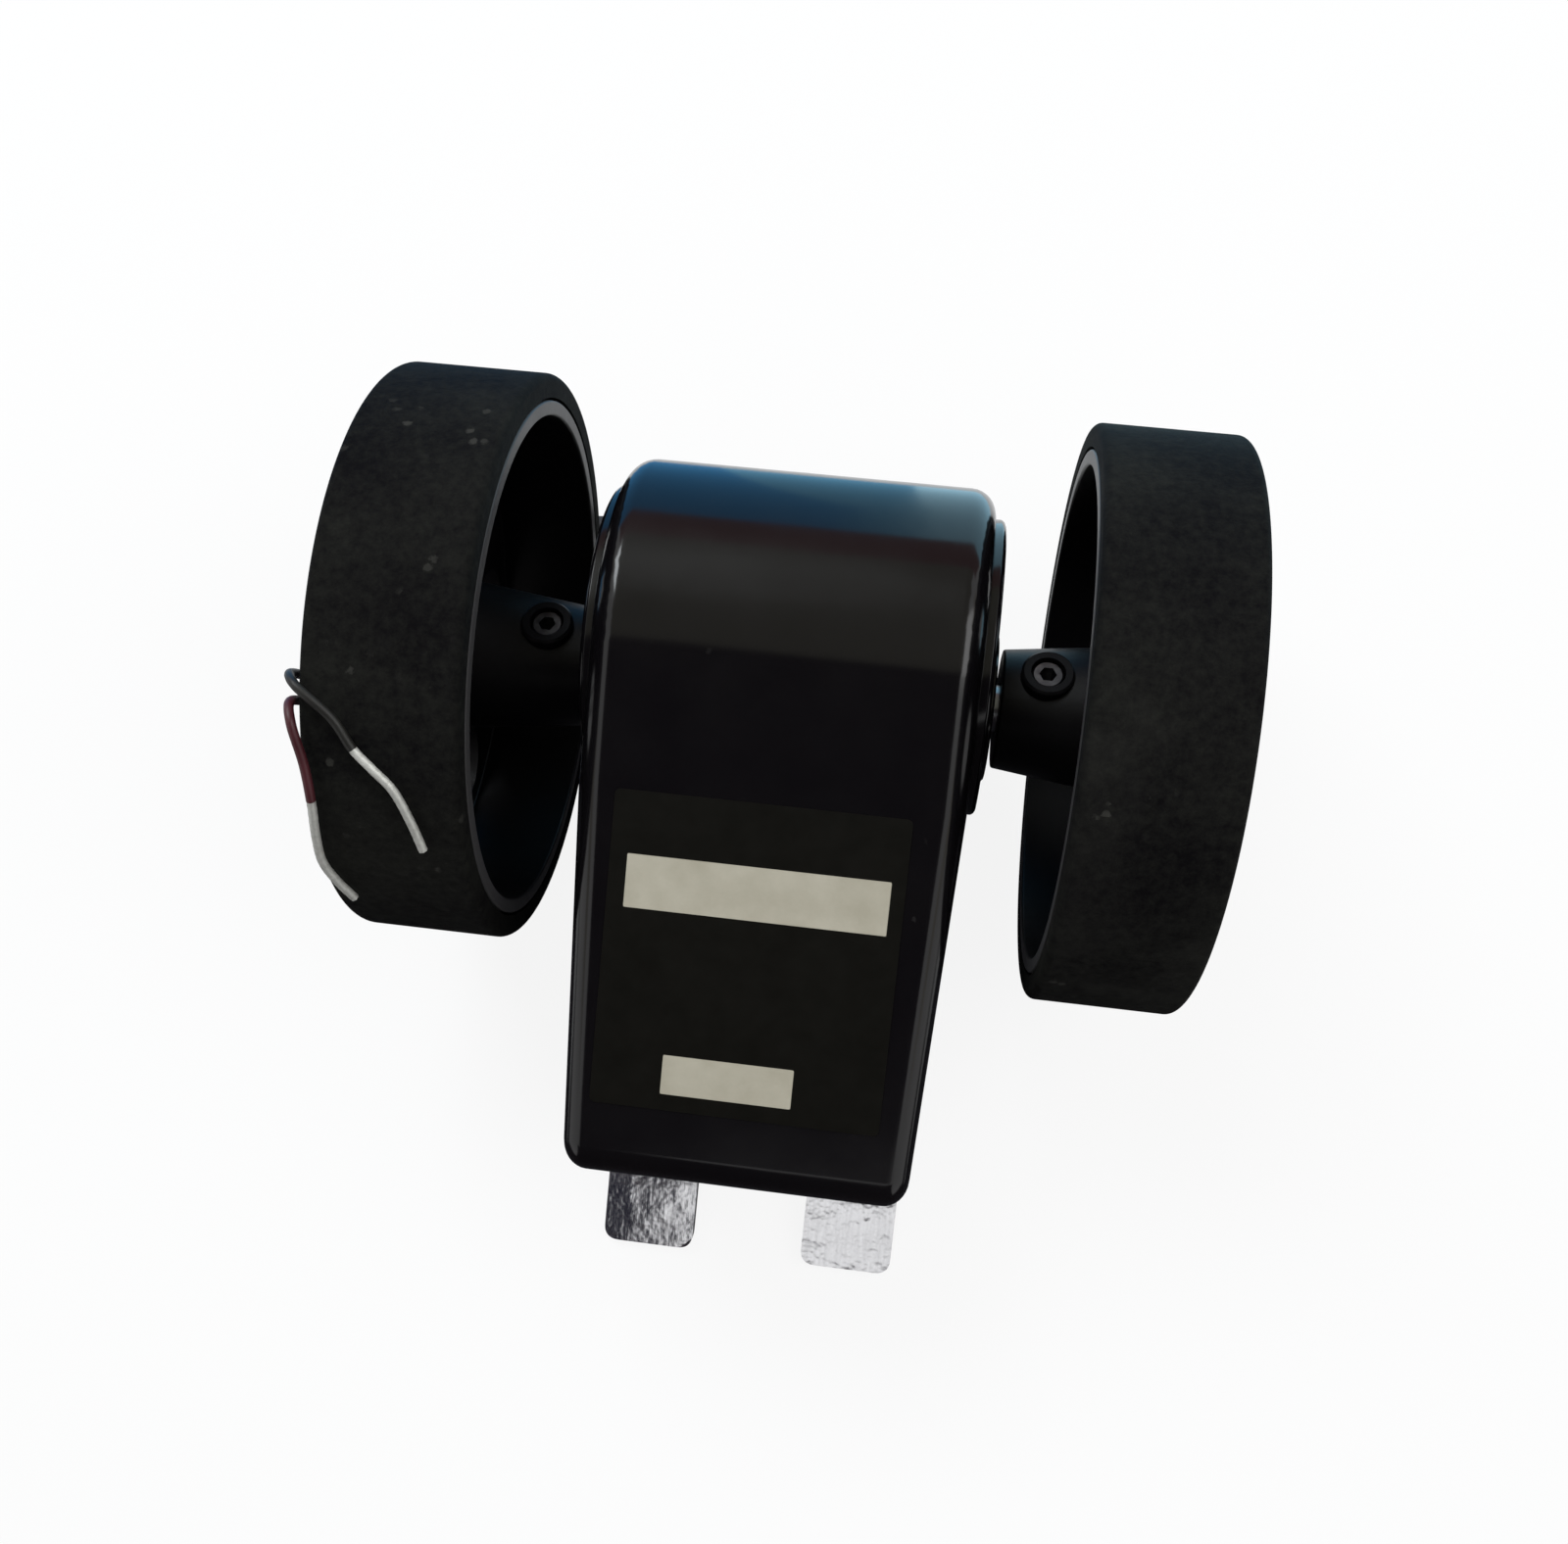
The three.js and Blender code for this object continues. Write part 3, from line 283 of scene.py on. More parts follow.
def plate(name, outline, z0, z1, matrix=Matrix.Identity(4)):
    count = len(outline)
    points = [(x, y, z0) for x, y in outline] + [(x, y, z1) for x, y in outline]
    faces = [tuple(range(count)), tuple(range(count, 2 * count))]
    faces += [(i, (i + 1) % count, count + (i + 1) % count, count + i) for i in range(count)]
    return make(name, points, faces, matrix)


def sweep(name, path, radius, sides, lobes=0, twist=0.0, depth=0.0):
    """A round tube along a path, or a stranded one with lobes that twist along it."""
    path = np.array(path, float)
    ahead = np.gradient(path, axis=0)
    ahead /= np.linalg.norm(ahead, axis=1)[:, None]
    side = np.cross(ahead[0], (0, 0, 1) if abs(ahead[0][2]) < 0.9 else (1, 0, 0))
    points = []
    run = 0.0
    for i, (place, forward) in enumerate(zip(path, ahead)):
        run += np.linalg.norm(place - path[i - 1]) if i else 0.0
        side = side - forward * (side @ forward)
        side /= np.linalg.norm(side)
        over = np.cross(forward, side)
        for k in range(sides):
            angle = TURN * k / sides
            lobe = abs(math.cos(lobes * (angle + twist * run) / 2))
            reach = radius * (1 - depth + depth * lobe)
            points.append(place + reach * (math.cos(angle) * side + math.sin(angle) * over))
    faces = [tuple(range(sides)), tuple(range(len(points) - sides, len(points)))]
    for i in range(len(path) - 1):
        for k in range(sides):
            a, b = i * sides + k, i * sides + (k + 1) % sides
            faces.append((a, b, b + sides, a + sides))
    return make(name, points, faces)


def through(points, steps):
    """Points on a centripetal Catmull-Rom curve through the given ones."""
    points = [np.array(point, float) for point in points]
    points = [2 * points[0] - points[1], *points, 2 * points[-1] - points[-2]]
    curve = []
    for p0, p1, p2, p3 in zip(points, points[1:], points[2:], points[3:]):
        d0, d1, d2 = (math.sqrt(np.linalg.norm(b - a)) for a, b in ((p0, p1), (p1, p2), (p2, p3)))
        t1 = ((p1 - p0) / d0 - (p2 - p0) / (d0 + d1) + (p2 - p1) / d1) * d1
        t2 = ((p2 - p1) / d1 - (p3 - p1) / (d1 + d2) + (p3 - p2) / d2) * d1
        for t in np.arange(steps) / steps:
            second = (3 * (p2 - p1) - 2 * t1 - t2) * (t * t)
            third = (2 * (p1 - p2) + t1 + t2) * (t * t * t)
            curve.append(p1 + t1 * t + second + third)
    curve.append(points[-2])
    return np.array(curve)


def joined(name, first, second):
    """Both meshes as one piece; the second one's faces take the second material."""
    built = bmesh.new()
    built.from_mesh(first.data)
    count = len(built.faces)
    built.from_mesh(second.data)
    built.faces.ensure_lookup_table()
    for face in built.faces[count:]:
        face.material_index = 1
    built.to_mesh(first.data)
    built.free()
    bpy.data.objects.remove(second)
    first.name = name
    return smooth(first)


def run_of(path):
    return float(np.linalg.norm(np.diff(np.array(path), axis=0), axis=1).sum())


print("mesh helpers ready")

# %% [markdown]
# ## Cords
# The cable leaves its outlet, rounds a bow and lies in a coil of two layers under the head.
# Its far end lies beside the left wheel, where four cores leave the jacket. Two of them hang over
# the left tread, their ends stripped and tinned, and two lie on the table.

# %% Cords
CABLE = 1.8 * MM
CORE = 0.55 * MM
TINNED = 0.98 * CORE
STRANDS = 7
STRAND_TWIST = 900  # radians a metre
STRAND_DEPTH = 0.14
# The coil's sizes and all the routes are in millimetres, from the table's place under the shaft.
COIL_TURNS = 7.25
COIL_RADIUS = 26
COIL_PITCH = 4.2
COIL_CENTRE = (-4, 9)
COIL_LOWEST = 2.75
COIL_LEAD = 3.6


def from_housing(x, s, h):
    """The place over the table of one given by s and h in the tilted housing."""
    y = -s * math.cos(TILT) - h * math.sin(TILT)
    z = TYRE_RADIUS / MM - s * math.sin(TILT) + h * math.cos(TILT)
    return (x, y, z)


def coil_point(turns):
    """Winds inward on the lower layer, climbs in one turn, and winds outward on the upper one."""
    held = min(max(turns, 0), COIL_TURNS)
    middle = COIL_TURNS / 2
    angle = TURN * held
    radius = COIL_RADIUS - COIL_PITCH * (middle - abs(held - middle))
    share = min(max(held - (middle - 0.5), 0), 1)
    climb = share * share * (3 - 2 * share)
    ahead = (turns - held) * TURN * COIL_RADIUS
    x = COIL_CENTRE[0] + radius * math.cos(angle) - ahead * math.sin(angle)
    y = COIL_CENTRE[1] + radius * math.sin(angle) + ahead * math.cos(angle)
    return (x, y, COIL_LOWEST + COIL_PITCH * climb)


run_route = [
    from_housing(-3, 27.3, -17.2),
    from_housing(-3, 30.9, -17.2),
    (-3, -32, 8.6),
    (-3, -37, 6.4),
    (-3, -42, 4.4),
    (0.2, -49.8, 2.4),
    (8, -53, 1.85),
    (15.8, -49.8, 1.85),
    (19, -42, 1.85),
    (20.4, -28, 1.85),
    (21.4, -12, 2.2),
    (22, -1.8, 2.75),
    (22, 5.1, 2.75),
]
tail_route = [
    (-7.9, 35, 6.95),
    (-11.2, 35, 6.65),
    (-18, 34, 4.8),
    (-25, 32, 2.9),
    (-33, 30, 1.9),
    (-42, 29, 1.85),
    (-50, 27.2, 1.85),
    (-56, 22.5, 1.85),
    (-58.5, 15, 1.85),
    (-58.5, 8.3, 1.85),
]
core_routes = {
    "core_black": [
        (-59.15, 8, 2.5),
        (-59.1, 4, 2.9),
        (-58.6, 0, 6),
        (-57.6, -3, 14),
        (-56.3, -5.4, 27),
        (-55.1, -7.4, 42),
        (-54, -9.2, 56),
        (-53.3, -10.5, 65),
        (-52.5, -11.7, 70.6),
        (-50.9, -13.2, 72.2),
        (-47, -16.1, 70.5),
        (-44.9, -18.9, 68.8),
        (-42.8, -20.7, 67.8),
        (-40.7, -22.5, 66.5),
        (-39, -25.5, 63.9),
        (-37.9, -28.4, 61),
    ],
    "core_brown": [
        (-57.85, 8, 2.5),
        (-57.7, 4, 3.3),
        (-56.7, -0.2, 8),
        (-55, -4.6, 18),
        (-53.9, -7.6, 32),
        (-53.2, -10, 46),
        (-52.8, -12.2, 58),
        (-52.7, -13.5, 65.5),
        (-52.45, -14.7, 69.6),
        (-51.5, -17.1, 70.5),
        (-50.6, -20.9, 67.6),
        (-50.2, -24.6, 64.8),
        (-50.4, -28.3, 61.1),
        (-50.4, -30.8, 57.9),
        (-49.4, -32.7, 54.8),
        (-48.1, -34.2, 52),
    ],
    "core_white": [
        (-59.15, 8, 1.2),
        (-59.4, 3.5, 0.9),
        (-59.6, -3, 0.6),
        (-60.4, -8.6, 0.6),
        (-63.2, -11.6, 0.6),
        (-66.2, -9, 0.6),
        (-67, -2, 0.6),
        (-66.8, 9, 0.6),
        (-66, 22, 0.6),
        (-64.4, 35, 0.6),
    ],
    "core_blue": [
        (-57.85, 8, 1.2),
        (-57.6, 3.5, 0.9),
        (-57.3, -4, 0.6),
        (-57.5, -11, 0.6),
        (-60, -16, 0.6),
        (-64.6, -16.8, 0.6),
        (-68.4, -12.8, 0.6),
        (-69.6, -5, 0.6),
        (-69.6, 7, 0.6),
        (-69, 20, 0.6),
        (-67.6, 34, 0.6),
    ],
}
tinned_from = {
    "core_black": (-44.9, -18.9, 68.8),
    "core_brown": (-50.2, -24.6, 64.8),
    "core_white": (-66.4, 16, 0.6),
    "core_blue": (-69.3, 14, 0.6),
}


def placed(path):
    """Places over the table in metres, in the frame of the CAD model."""
    return np.array(path) * MM + np.array((0, ALONG, 0))


straight = COIL_LEAD / COIL_RADIUS / TURN
coil_path = [coil_point(t) for t in np.linspace(-straight, COIL_TURNS + straight, 520)]
cable_path = placed(np.vstack([through(run_route, 8), coil_path, through(tail_route, 8)]))
cable = sweep("cable", cable_path, CABLE, 16)

cores = {}
for name, route in core_routes.items():
    path = placed(through(route, 10))
    first = int(np.argmin(np.linalg.norm(path - placed(tinned_from[name]), axis=1)))
    sleeve = sweep(name + "_sleeve", path[: first + 1], CORE, 14)
    tin = sweep(name + "_tinned", path[first:], TINNED, 28, STRANDS, STRAND_TWIST, STRAND_DEPTH)
    cores[name] = (path, joined(name + "_lead", sleeve, tin))
    print(name, round(run_of(path), 4), "m, sleeve", round(run_of(path[: first + 1]), 4))

# %% [markdown]
# ## Shader helpers
# A Term is one socket. Sums and products of terms add Math nodes, and `node` adds any other node.

# %% Shader helpers
class Term:
    """One output socket of a node tree, with the usual sums on it."""

    def __init__(self, owner, socket):
        self.owner = owner
        self.socket = socket

    def _math(self, operation, *values):
        node = self.owner.tree.nodes.new("ShaderNodeMath")
        node.operation = operation
        for socket, value in zip(node.inputs, values):
            self.owner.feed(socket, value)
        return Term(self.owner, node.outputs[0])

    def __add__(self, other):
        return self._math("ADD", self, other)

    def __radd__(self, other):
        return self._math("ADD", other, self)

    def __sub__(self, other):
        return self._math("SUBTRACT", self, other)

    def __rsub__(self, other):
        return self._math("SUBTRACT", other, self)

    def __mul__(self, other):
        return self._math("MULTIPLY", self, other)

    def __rmul__(self, other):
        return self._math("MULTIPLY", other, self)

    def __truediv__(self, other):
        return self._math("DIVIDE", self, other)

    def __pow__(self, other):
        return self._math("POWER", self, other)

    def clipped(self, low=0.0, high=1.0):
        return self._math("MINIMUM", self._math("MAXIMUM", self, low), high)

    def step(self, low, high):
        """0 below low and 1 above high, or the other way round."""
        return ((self - low) / (high - low)).clipped()


class Shading:
    """A node tree of a material or of the world."""

    def __init__(self, tree):
        self.tree = tree

    def feed(self, socket, value):
        if isinstance(value, Term):
            self.tree.links.new(value.socket, socket)
        else:
            socket.default_value = value

    def node(self, kind, output, inputs=(), **settings):
        node = self.tree.nodes.new("ShaderNode" + kind)
        for key, value in settings.items():
            setattr(node, key, value)
        for key, value in dict(inputs).items():
            self.feed(node.inputs[key], value)
        return Term(self, node.outputs[output])

    def seen_directly(self, straight, reflected):
        """The share for camera rays, and the one for glossy and transmission rays."""
        camera_ray = self.node("LightPath", "Is Camera Ray")
        glossy_ray = self.node("LightPath", "Is Glossy Ray")
        clear_ray = self.node("LightPath", "Is Transmission Ray")
        return straight * camera_ray + reflected * glossy_ray + reflected * clear_ray


class Look(Shading):
    """A material whose constants sit on the Principled shader's own sockets."""

    def __init__(self, name, **constants):
        self.material = bpy.data.materials.new(name)
        self.material.use_nodes = True
        super().__init__(self.material.node_tree)
        self.shader = self.tree.nodes["Principled BSDF"]
        for socket, value in constants.items():
            self.shader.inputs[socket.replace("_", " ")].default_value = value

    def place(self):
        return self.node("TexCoord", "Object")

    def noise(self, scale, detail=4.0, rough=0.55, stretch=None):
        where = self.place()
        if stretch:
            where = self.node("Mapping", 0, {"Vector": where, "Scale": stretch})
        inputs = {"Vector": where, "Scale": scale, "Detail": detail, "Roughness": rough}
        return self.node("TexNoise", "Fac", inputs)

    def specks(self, scale, size, dust=0.5):
        """Small scattered specks of uneven shape: 1 in a speck and 0 round it."""
        cells = {"Vector": self.place(), "Scale": scale}
        ragged = 0.5 * self.noise(4 * scale, 3, 0.7)
        far = self.node("TexVoronoi", "Distance", cells) + ragged - 0.25
        centre = self.node("TexVoronoi", "Position", cells)
        lot = self.node("TexWhiteNoise", "Value", {"Vector": centre})
        return far.step(size, 0.6 * size) * lot.step(dust, dust + 0.05)

    def mix(self, share, first, second):
        node = self.tree.nodes.new("ShaderNodeMix")
        node.data_type = "RGBA"
        self.feed(node.inputs["Factor"], share)
        for key, value in (("A", first), ("B", second)):
            socket = [s for s in node.inputs if s.name == key and s.type == "RGBA"][0]
            self.feed(socket, value if isinstance(value, Term) else (*value, 1.0))
        return Term(self, [s for s in node.outputs if s.type == "RGBA"][0])

    def surface(self, shader):
        self.feed(self.tree.nodes["Material Output"].inputs["Surface"], shader)
        return self

    def colour(self, value):
        self.feed(self.shader.inputs["Base Color"], value)
        return self

    def rough(self, value):
        self.feed(self.shader.inputs["Roughness"], value)
        return self

    def bump(self, height, strength, distance):
        inputs = {"Height": height, "Strength": strength, "Distance": distance}
        self.feed(self.shader.inputs["Normal"], self.node("Bump", "Normal", inputs))
        return self


def wear(thing, *looks):
    if len(thing.data.materials):
        thing.data.materials.clear()
    for look in looks:
        thing.data.materials.append(look.material)
    return thing


print("shader helpers ready")

# %% [markdown]
# ## Plastics
# The housing is glossy black moulded plastic with a faint ripple, fine handling marks and a
# little dust. The rims are a satin black whose outer lip is painted paler, a painted sheen
# for the shine on its edge, and the small moulded parts are duller still.

# %% Plastics
gloss = Look("glossy_black_plastic", Specular_IOR_Level=0.4)
marks = gloss.noise(90, 5, 0.6)
ripple = gloss.noise(160, 2, 0.5)
dust = gloss.specks(420, 0.16, 0.96)
share = (0.25 * marks + 0.7 * dust).clipped()
gloss.colour(gloss.mix(share, (0.0022, 0.0018, 0.0026), (0.014, 0.013, 0.013)))
gloss.rough((0.1 + 0.1 * marks + 0.3 * dust).clipped())
gloss.bump(ripple, 0.05, 0.0003)

satin = Look("black_rim_plastic", Specular_IOR_Level=0.16)
grain = satin.noise(900, 3, 0.6)
cloud = satin.noise(70, 4)
dust = satin.specks(500, 0.15, 0.95)
across, along = (satin.node("SeparateXYZ", axis, {"Vector": satin.place()}) for axis in "YZ")
radius = (across * across + along * along) ** 0.5
# The rim's outer lip is painted paler: a painted sheen that stands in for the shine on its edge.
painted_lip_sheen = radius.step(RIM_RADIUS - RIM_WALL, RIM_RADIUS - RIM_WALL + 0.3 * MM)
share = (0.5 * cloud + 0.7 * dust).clipped()
black = satin.mix(share, (0.0014, 0.0011, 0.0016), (0.006, 0.0055, 0.0058))
satin.colour(satin.mix(painted_lip_sheen * (0.6 + 0.4 * cloud), black, (0.065, 0.064, 0.066)))
satin.rough((0.3 + 0.2 * cloud).clipped())
satin.bump(grain, 0.12, 0.0002)

resin = Look("black_resin", Specular_IOR_Level=0.4)
grain = resin.noise(1400, 3)
cloud = resin.noise(200, 3)
resin.colour(resin.mix(cloud, (0.006, 0.006, 0.007), (0.018, 0.018, 0.019)))
resin.rough((0.42 + 0.2 * cloud).clipped())
resin.bump(grain, 0.25, 0.0001)

# %% [markdown]
# ## Rubber
# The tyres are fine, rough, matte rubber with paler rubbed patches and specks of dust. The
# cable's jacket is smoother.

# %% Rubber
rubber = Look("tyre_rubber", Specular_IOR_Level=0.06)
grit = rubber.noise(2600, 6, 0.75)
pits = rubber.noise(900, 4, 0.65)
rubbed = rubber.noise(60, 5, 0.6, (0.5, 1, 1))
dust = rubber.specks(500, 0.3, 0.8) * rubber.noise(45, 3, 0.6).step(0.52, 0.6)
patches = rubber.noise(24, 4, 0.65).step(0.56, 0.72)
tone = (0.2 * grit + 0.35 * pits + 0.45 * rubbed).step(0.4, 0.62)
black = rubber.mix(tone, (0.0026, 0.0023, 0.0029), (0.0135, 0.0138, 0.0118))
pale = (0.2 * patches + 0.6 * dust).clipped()
rubber.colour(rubber.mix(pale, black, (0.05, 0.049, 0.044)))
rubber.rough((0.72 + 0.2 * grit).clipped())
rubber.bump(0.6 * grit + 0.4 * pits, 0.5, 0.00025)

jacket = Look("cable_jacket", Specular_IOR_Level=0.35)
cloud = jacket.noise(120, 4)
grit = jacket.noise(1600, 3)
jacket.colour(jacket.mix(cloud, (0.009, 0.009, 0.011), (0.024, 0.024, 0.027)))
jacket.rough((0.45 + 0.22 * cloud).clipped())
jacket.bump(grit, 0.2, 0.0001)
print("plastics and rubber ready")

# %% [markdown]
# ## Metals
# Turned steel shows fine rings along the shaft's line, the bracket is bright plated sheet, and
# the set screws are blackened. The disc's hub is light alloy.

# %% Metals
def metal(name, dark, light, roughness, spread, scale, stretch, share=1.0, waves=0.0):
    look = Look(name, Metallic=share)
    fine = look.noise(scale, 4, 0.6, stretch)
    cloud = look.noise(110, 4, 0.6)
    look.colour(look.mix((0.55 * fine + 0.45 * cloud).step(0.3, 0.7), dark, light))
    look.rough((roughness + spread * cloud).clipped())
    look.bump(fine + waves * look.noise(210, 3, 0.6), 0.08, 0.0001)
    return look


RINGS = (6, 0.4, 0.4)
EVEN = (1, 1, 1)
ROLLED = (5, 0.5, 0.5)
steel = metal("bright_steel", (0.33, 0.34, 0.35), (0.52, 0.53, 0.54), 0.2, 0.2, 600, RINGS)
dark_steel = metal("dark_steel", (0.07, 0.07, 0.075), (0.2, 0.2, 0.205), 0.22, 0.22, 900, EVEN)
plated = metal("plated_steel", (0.7, 0.7, 0.72), (0.88, 0.88, 0.9), 0.06, 0.12, 500, ROLLED,
               waves=11.0)
alloy = metal("light_alloy", (0.42, 0.43, 0.44), (0.6, 0.6, 0.61), 0.28, 0.2, 700, RINGS)
tinned = metal("tinned_wire", (0.42, 0.42, 0.39), (0.72, 0.72, 0.68), 0.4, 0.2, 1500, EVEN,
               share=0.45)
print("metals ready")

# %% [markdown]
# ## Sleeves, board and label
# The cores have plain coloured sleeves. The label is a dark satin film with two off-white boxes,
# both left bare.

# %% Sleeves, board and label
def film(name, dark, light, roughness, scale=260, bumpy=0.1, speck=0.0, level=0.4):
    look = Look(name, Specular_IOR_Level=level)
    cloud = look.noise(scale, 5, 0.6)
    share = cloud.step(0.3, 0.7)
    if speck:
        share = (share + speck * look.specks(600, 0.16, 0.9)).clipped()
    look.colour(look.mix(share, dark, light))
    look.rough((roughness + 0.18 * cloud).clipped())
    look.bump(look.noise(1500, 3), bumpy, 0.0001)
    return look


sleeve_looks = {
    "core_black": film("core_black_sleeve", (0.006, 0.0055, 0.0045), (0.015, 0.0143, 0.0122), 0.38),
    "core_brown": film("core_brown_sleeve", (0.045, 0.007, 0.01), (0.085, 0.018, 0.024), 0.34),
    "core_white": film("core_white_sleeve", (0.56, 0.56, 0.52), (0.68, 0.68, 0.65), 0.35),
    "core_blue": film("core_blue_sleeve", (0.012, 0.04, 0.13), (0.022, 0.065, 0.19), 0.32),
}
board_look = film("board_laminate", (0.008, 0.055, 0.022), (0.02, 0.1, 0.048), 0.35)
sleeve_dark = film("capacitor_sleeve", (0.006, 0.007, 0.009), (0.014, 0.016, 0.02), 0.25)
tie_look = film("tie_plastic", (0.6, 0.6, 0.56), (0.72, 0.72, 0.69), 0.35)
label_film = film("label_film", (0.0026, 0.0023, 0.0014), (0.004, 0.0036, 0.0025), 0.45, 320,
                  speck=0.4, level=0.1)
label_pale = film("label_pale", (0.4, 0.37, 0.29), (0.47, 0.44, 0.355), 0.45, 240, 0.15)
print("sleeves, board and label ready")

# %% [markdown]
# ## Housing
# One rounded, tapered loft is hollowed and parted along the seam, as in the CAD model but with
# many more facets, so that the head's bend and the side edges are smooth.

# %% Housing
HEAD_FACETS = 96
CHEEK_MARGIN = 0.3 * MM
CHEEK_CORNER = 4 * MM
CHEEK_SHORT = 2.7 * MM  # how far its tail side stays within the full round
CHEEK_EDGE = [(0.6, 0), (0.42, 0.06), (0.18, 0.24), (0, 0.6)]  # rise and inset, in millimetres


def housing_outline(inset):
    """The housing from its side as (y, z) points: head, rear step, and the rounded tail."""
    front = FRONT - inset
    back = BACK - inset
    step = inset - STEP
    tail_back = inset - TAIL_BACK
    tail = inset - TAIL
    corner = max(CORNER - inset, LEAST_RADIUS)
    outer = max(REAR_EDGE - inset, LEAST_RADIUS)
    hollow = STEP_HOLLOW + inset
    head = arc(HEAD_OFFSET, 0, front, QUARTER, -QUARTER, HEAD_FACETS)
    return [
        *[(y, z if z >= 0 else z * back / front) for y, z in head],
        (-TAPER_START, -back),
        *arc(step + outer, -back + outer, outer, -QUARTER, -2 * QUARTER, 8),
        *arc(step - hollow, tail_back - hollow, hollow, 0, QUARTER, 6),
        *arc(tail + corner, tail_back + corner, corner, -QUARTER, -2 * QUARTER, 12),
        *arc(tail + corner, front - corner, corner, 2 * QUARTER, QUARTER, 12),
        (-TAPER_START, front),
    ]


def tapered(thing):
    """The piece narrowed towards the tail."""
    for vertex in thing.data.vertices:
        run = max(0, (-vertex.co.y - TAPER_START) / (TAIL - TAPER_START))
        vertex.co.x *= 1 + (TAIL_HALF_WIDTH / HALF_WIDTH - 1) * run
    return thing


def housing_body(name, inset, edge, facets):
    """The whole housing, inset on all sides, its side edges rounded by edge."""
    half = HALF_WIDTH - inset
    left = []
    for i in range(facets + 1):
        angle = QUARTER * i / facets
        draw = edge * (1 - math.sin(angle))
        left.append((edge * (1 - math.cos(angle)) - half, housing_outline(inset + draw)))
    right = [(-x, outline) for x, outline in reversed(left)]
    return tapered(loft(name, left + right, HOUSING))


def cheek_outline(inset):
    """The raised disc on the housing's side, flattened towards the tail."""
    radius = FRONT - EDGE - CHEEK_MARGIN - inset
    corner = CHEEK_CORNER - inset
    drop = radius - CHEEK_SHORT - corner
    lean = math.acos(-drop / (radius - corner))
    rise = (radius - corner) * math.sin(lean)
    return [
        *arc(HEAD_OFFSET, 0, radius, -lean, lean, 72),
        *arc(HEAD_OFFSET - drop, rise, corner, lean, 2 * QUARTER, 10)[1:],
        *arc(HEAD_OFFSET - drop, -rise, corner, 2 * QUARTER, TURN - lean, 10)[:-1],
    ]


def span(side, near, far):
    """The lower and the upper place on X of a piece on one side, given in millimetres."""
    return sorted((side * near * MM, side * far * MM))


def shell(name, z0, z1):
    """One half of the hollow housing, from z0 to z1, with its cheeks, collars and bosses."""
    body = housing_body(name, 0, EDGE, 8)
    for side in (-1, 1):
        inside = side * (HALF_WIDTH - WALL / 2)
        sections = [(inside, cheek_outline(0))]
        for rise, draw in CHEEK_EDGE:
            x = side * (HALF_WIDTH + CHEEK - rise * MM)
            sections.append((x, cheek_outline(draw * MM)))
        combine(body, "UNION", loft("cheek", sections, HOUSING))
        profile = [
            (0, inside),
            (COLLAR_RADIUS, inside),
            (COLLAR_RADIUS, side * (COLLAR_FACE - COLLAR_EDGE)),
            (COLLAR_RADIUS - COLLAR_EDGE, side * COLLAR_FACE),
            (0, side * COLLAR_FACE),
        ]
        combine(body, "UNION", turned("collar", profile, 72, HOUSING))
    combine(body, "DIFFERENCE", housing_body("room", WALL, 0.01 * MM, 1))
    for side in (-1, 1):
        combine(body, "UNION", bar("boss", BOSS_RADIUS, *span(side, 15.6, 22), 64, HOUSING))
    for side in (-1, 1):
        seat = bar("seat", BEARING_RADIUS, *span(side, 14, 22.2), 64, HOUSING)
        bore = bar("bore", SHAFT_HOLE, *span(side, 14, 27), 48, HOUSING)
        combine(body, "DIFFERENCE", seat, bore)
    keep = block("keep", -0.05, 0.05, -0.09, 0.05, z0, z1, HOUSING)
    return combine(body, "INTERSECT", keep)


def upright(name, radius, x, y, z0, z1, facets=32):
    """A round bar along the housing's height."""
    matrix = HOUSING @ Matrix.Translation((x, y, 0)) @ Matrix.Rotation(-QUARTER, 4, "Y")
    return bar(name, radius, z0, z1, facets, matrix)


front_shell = shell("housing_front", SEAM / 2, 30 * MM)
rear_shell = shell("housing_rear", -30 * MM, -SEAM / 2)
for x in (-SCREW_SIDE, SCREW_SIDE):
    post = upright("post", 4.3 * MM, x, HEAD_SCREW, -17 * MM, -SEAM / 2)
    combine(rear_shell, "UNION", post)
    counterbore = upright("counterbore", 3.1 * MM, x, HEAD_SCREW, -25 * MM, -14 * MM)
    combine(rear_shell, "DIFFERENCE", counterbore)
    for y in (HEAD_SCREW, -TAIL_SCREW):
        clearance = upright("clearance", SCREW_HOLE, x, y, -25 * MM, 1 * MM)
        combine(rear_shell, "DIFFERENCE", clearance)
at_outlet = Matrix.Translation((-3 * MM, 0, -OUTLET_DEPTH))
along_tail = HOUSING @ at_outlet @ Matrix.Rotation(-QUARTER, 4, "Z")
combine(rear_shell, "DIFFERENCE", bar("outlet", 2.9 * MM, 14 * MM, 18 * MM, 40, along_tail))
for thing, node in ((front_shell, "front_shell"), (rear_shell, "rear_shell")):
    wear(finished(thing), gloss)
    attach(thing, "housing")
    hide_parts(node)
    print(thing.name, len(thing.data.polygons), "faces")

# %% [markdown]
# ## Label
# A thin film with rounded corners lies on the flat front face. On it lie two off-white boxes.

# %% Label
FILM = 0.12 * MM
PATCH = 0.02 * MM


def sheet(name, x, s0, s1, width, lift, thick, corner, look):
    """A flat piece from s0 to s1 along the front face, lifted off it."""
    half = width / 2
    outline = [(x - half, -s1), (x + half, -s1), (x + half, -s0), (x - half, -s0)]
    outline = rounded(outline, corner, 8)
    thing = plate(name, outline, FRONT + lift, FRONT + lift + thick, HOUSING)
    wear(thing, look)
    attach(thing, "housing")
    return thing


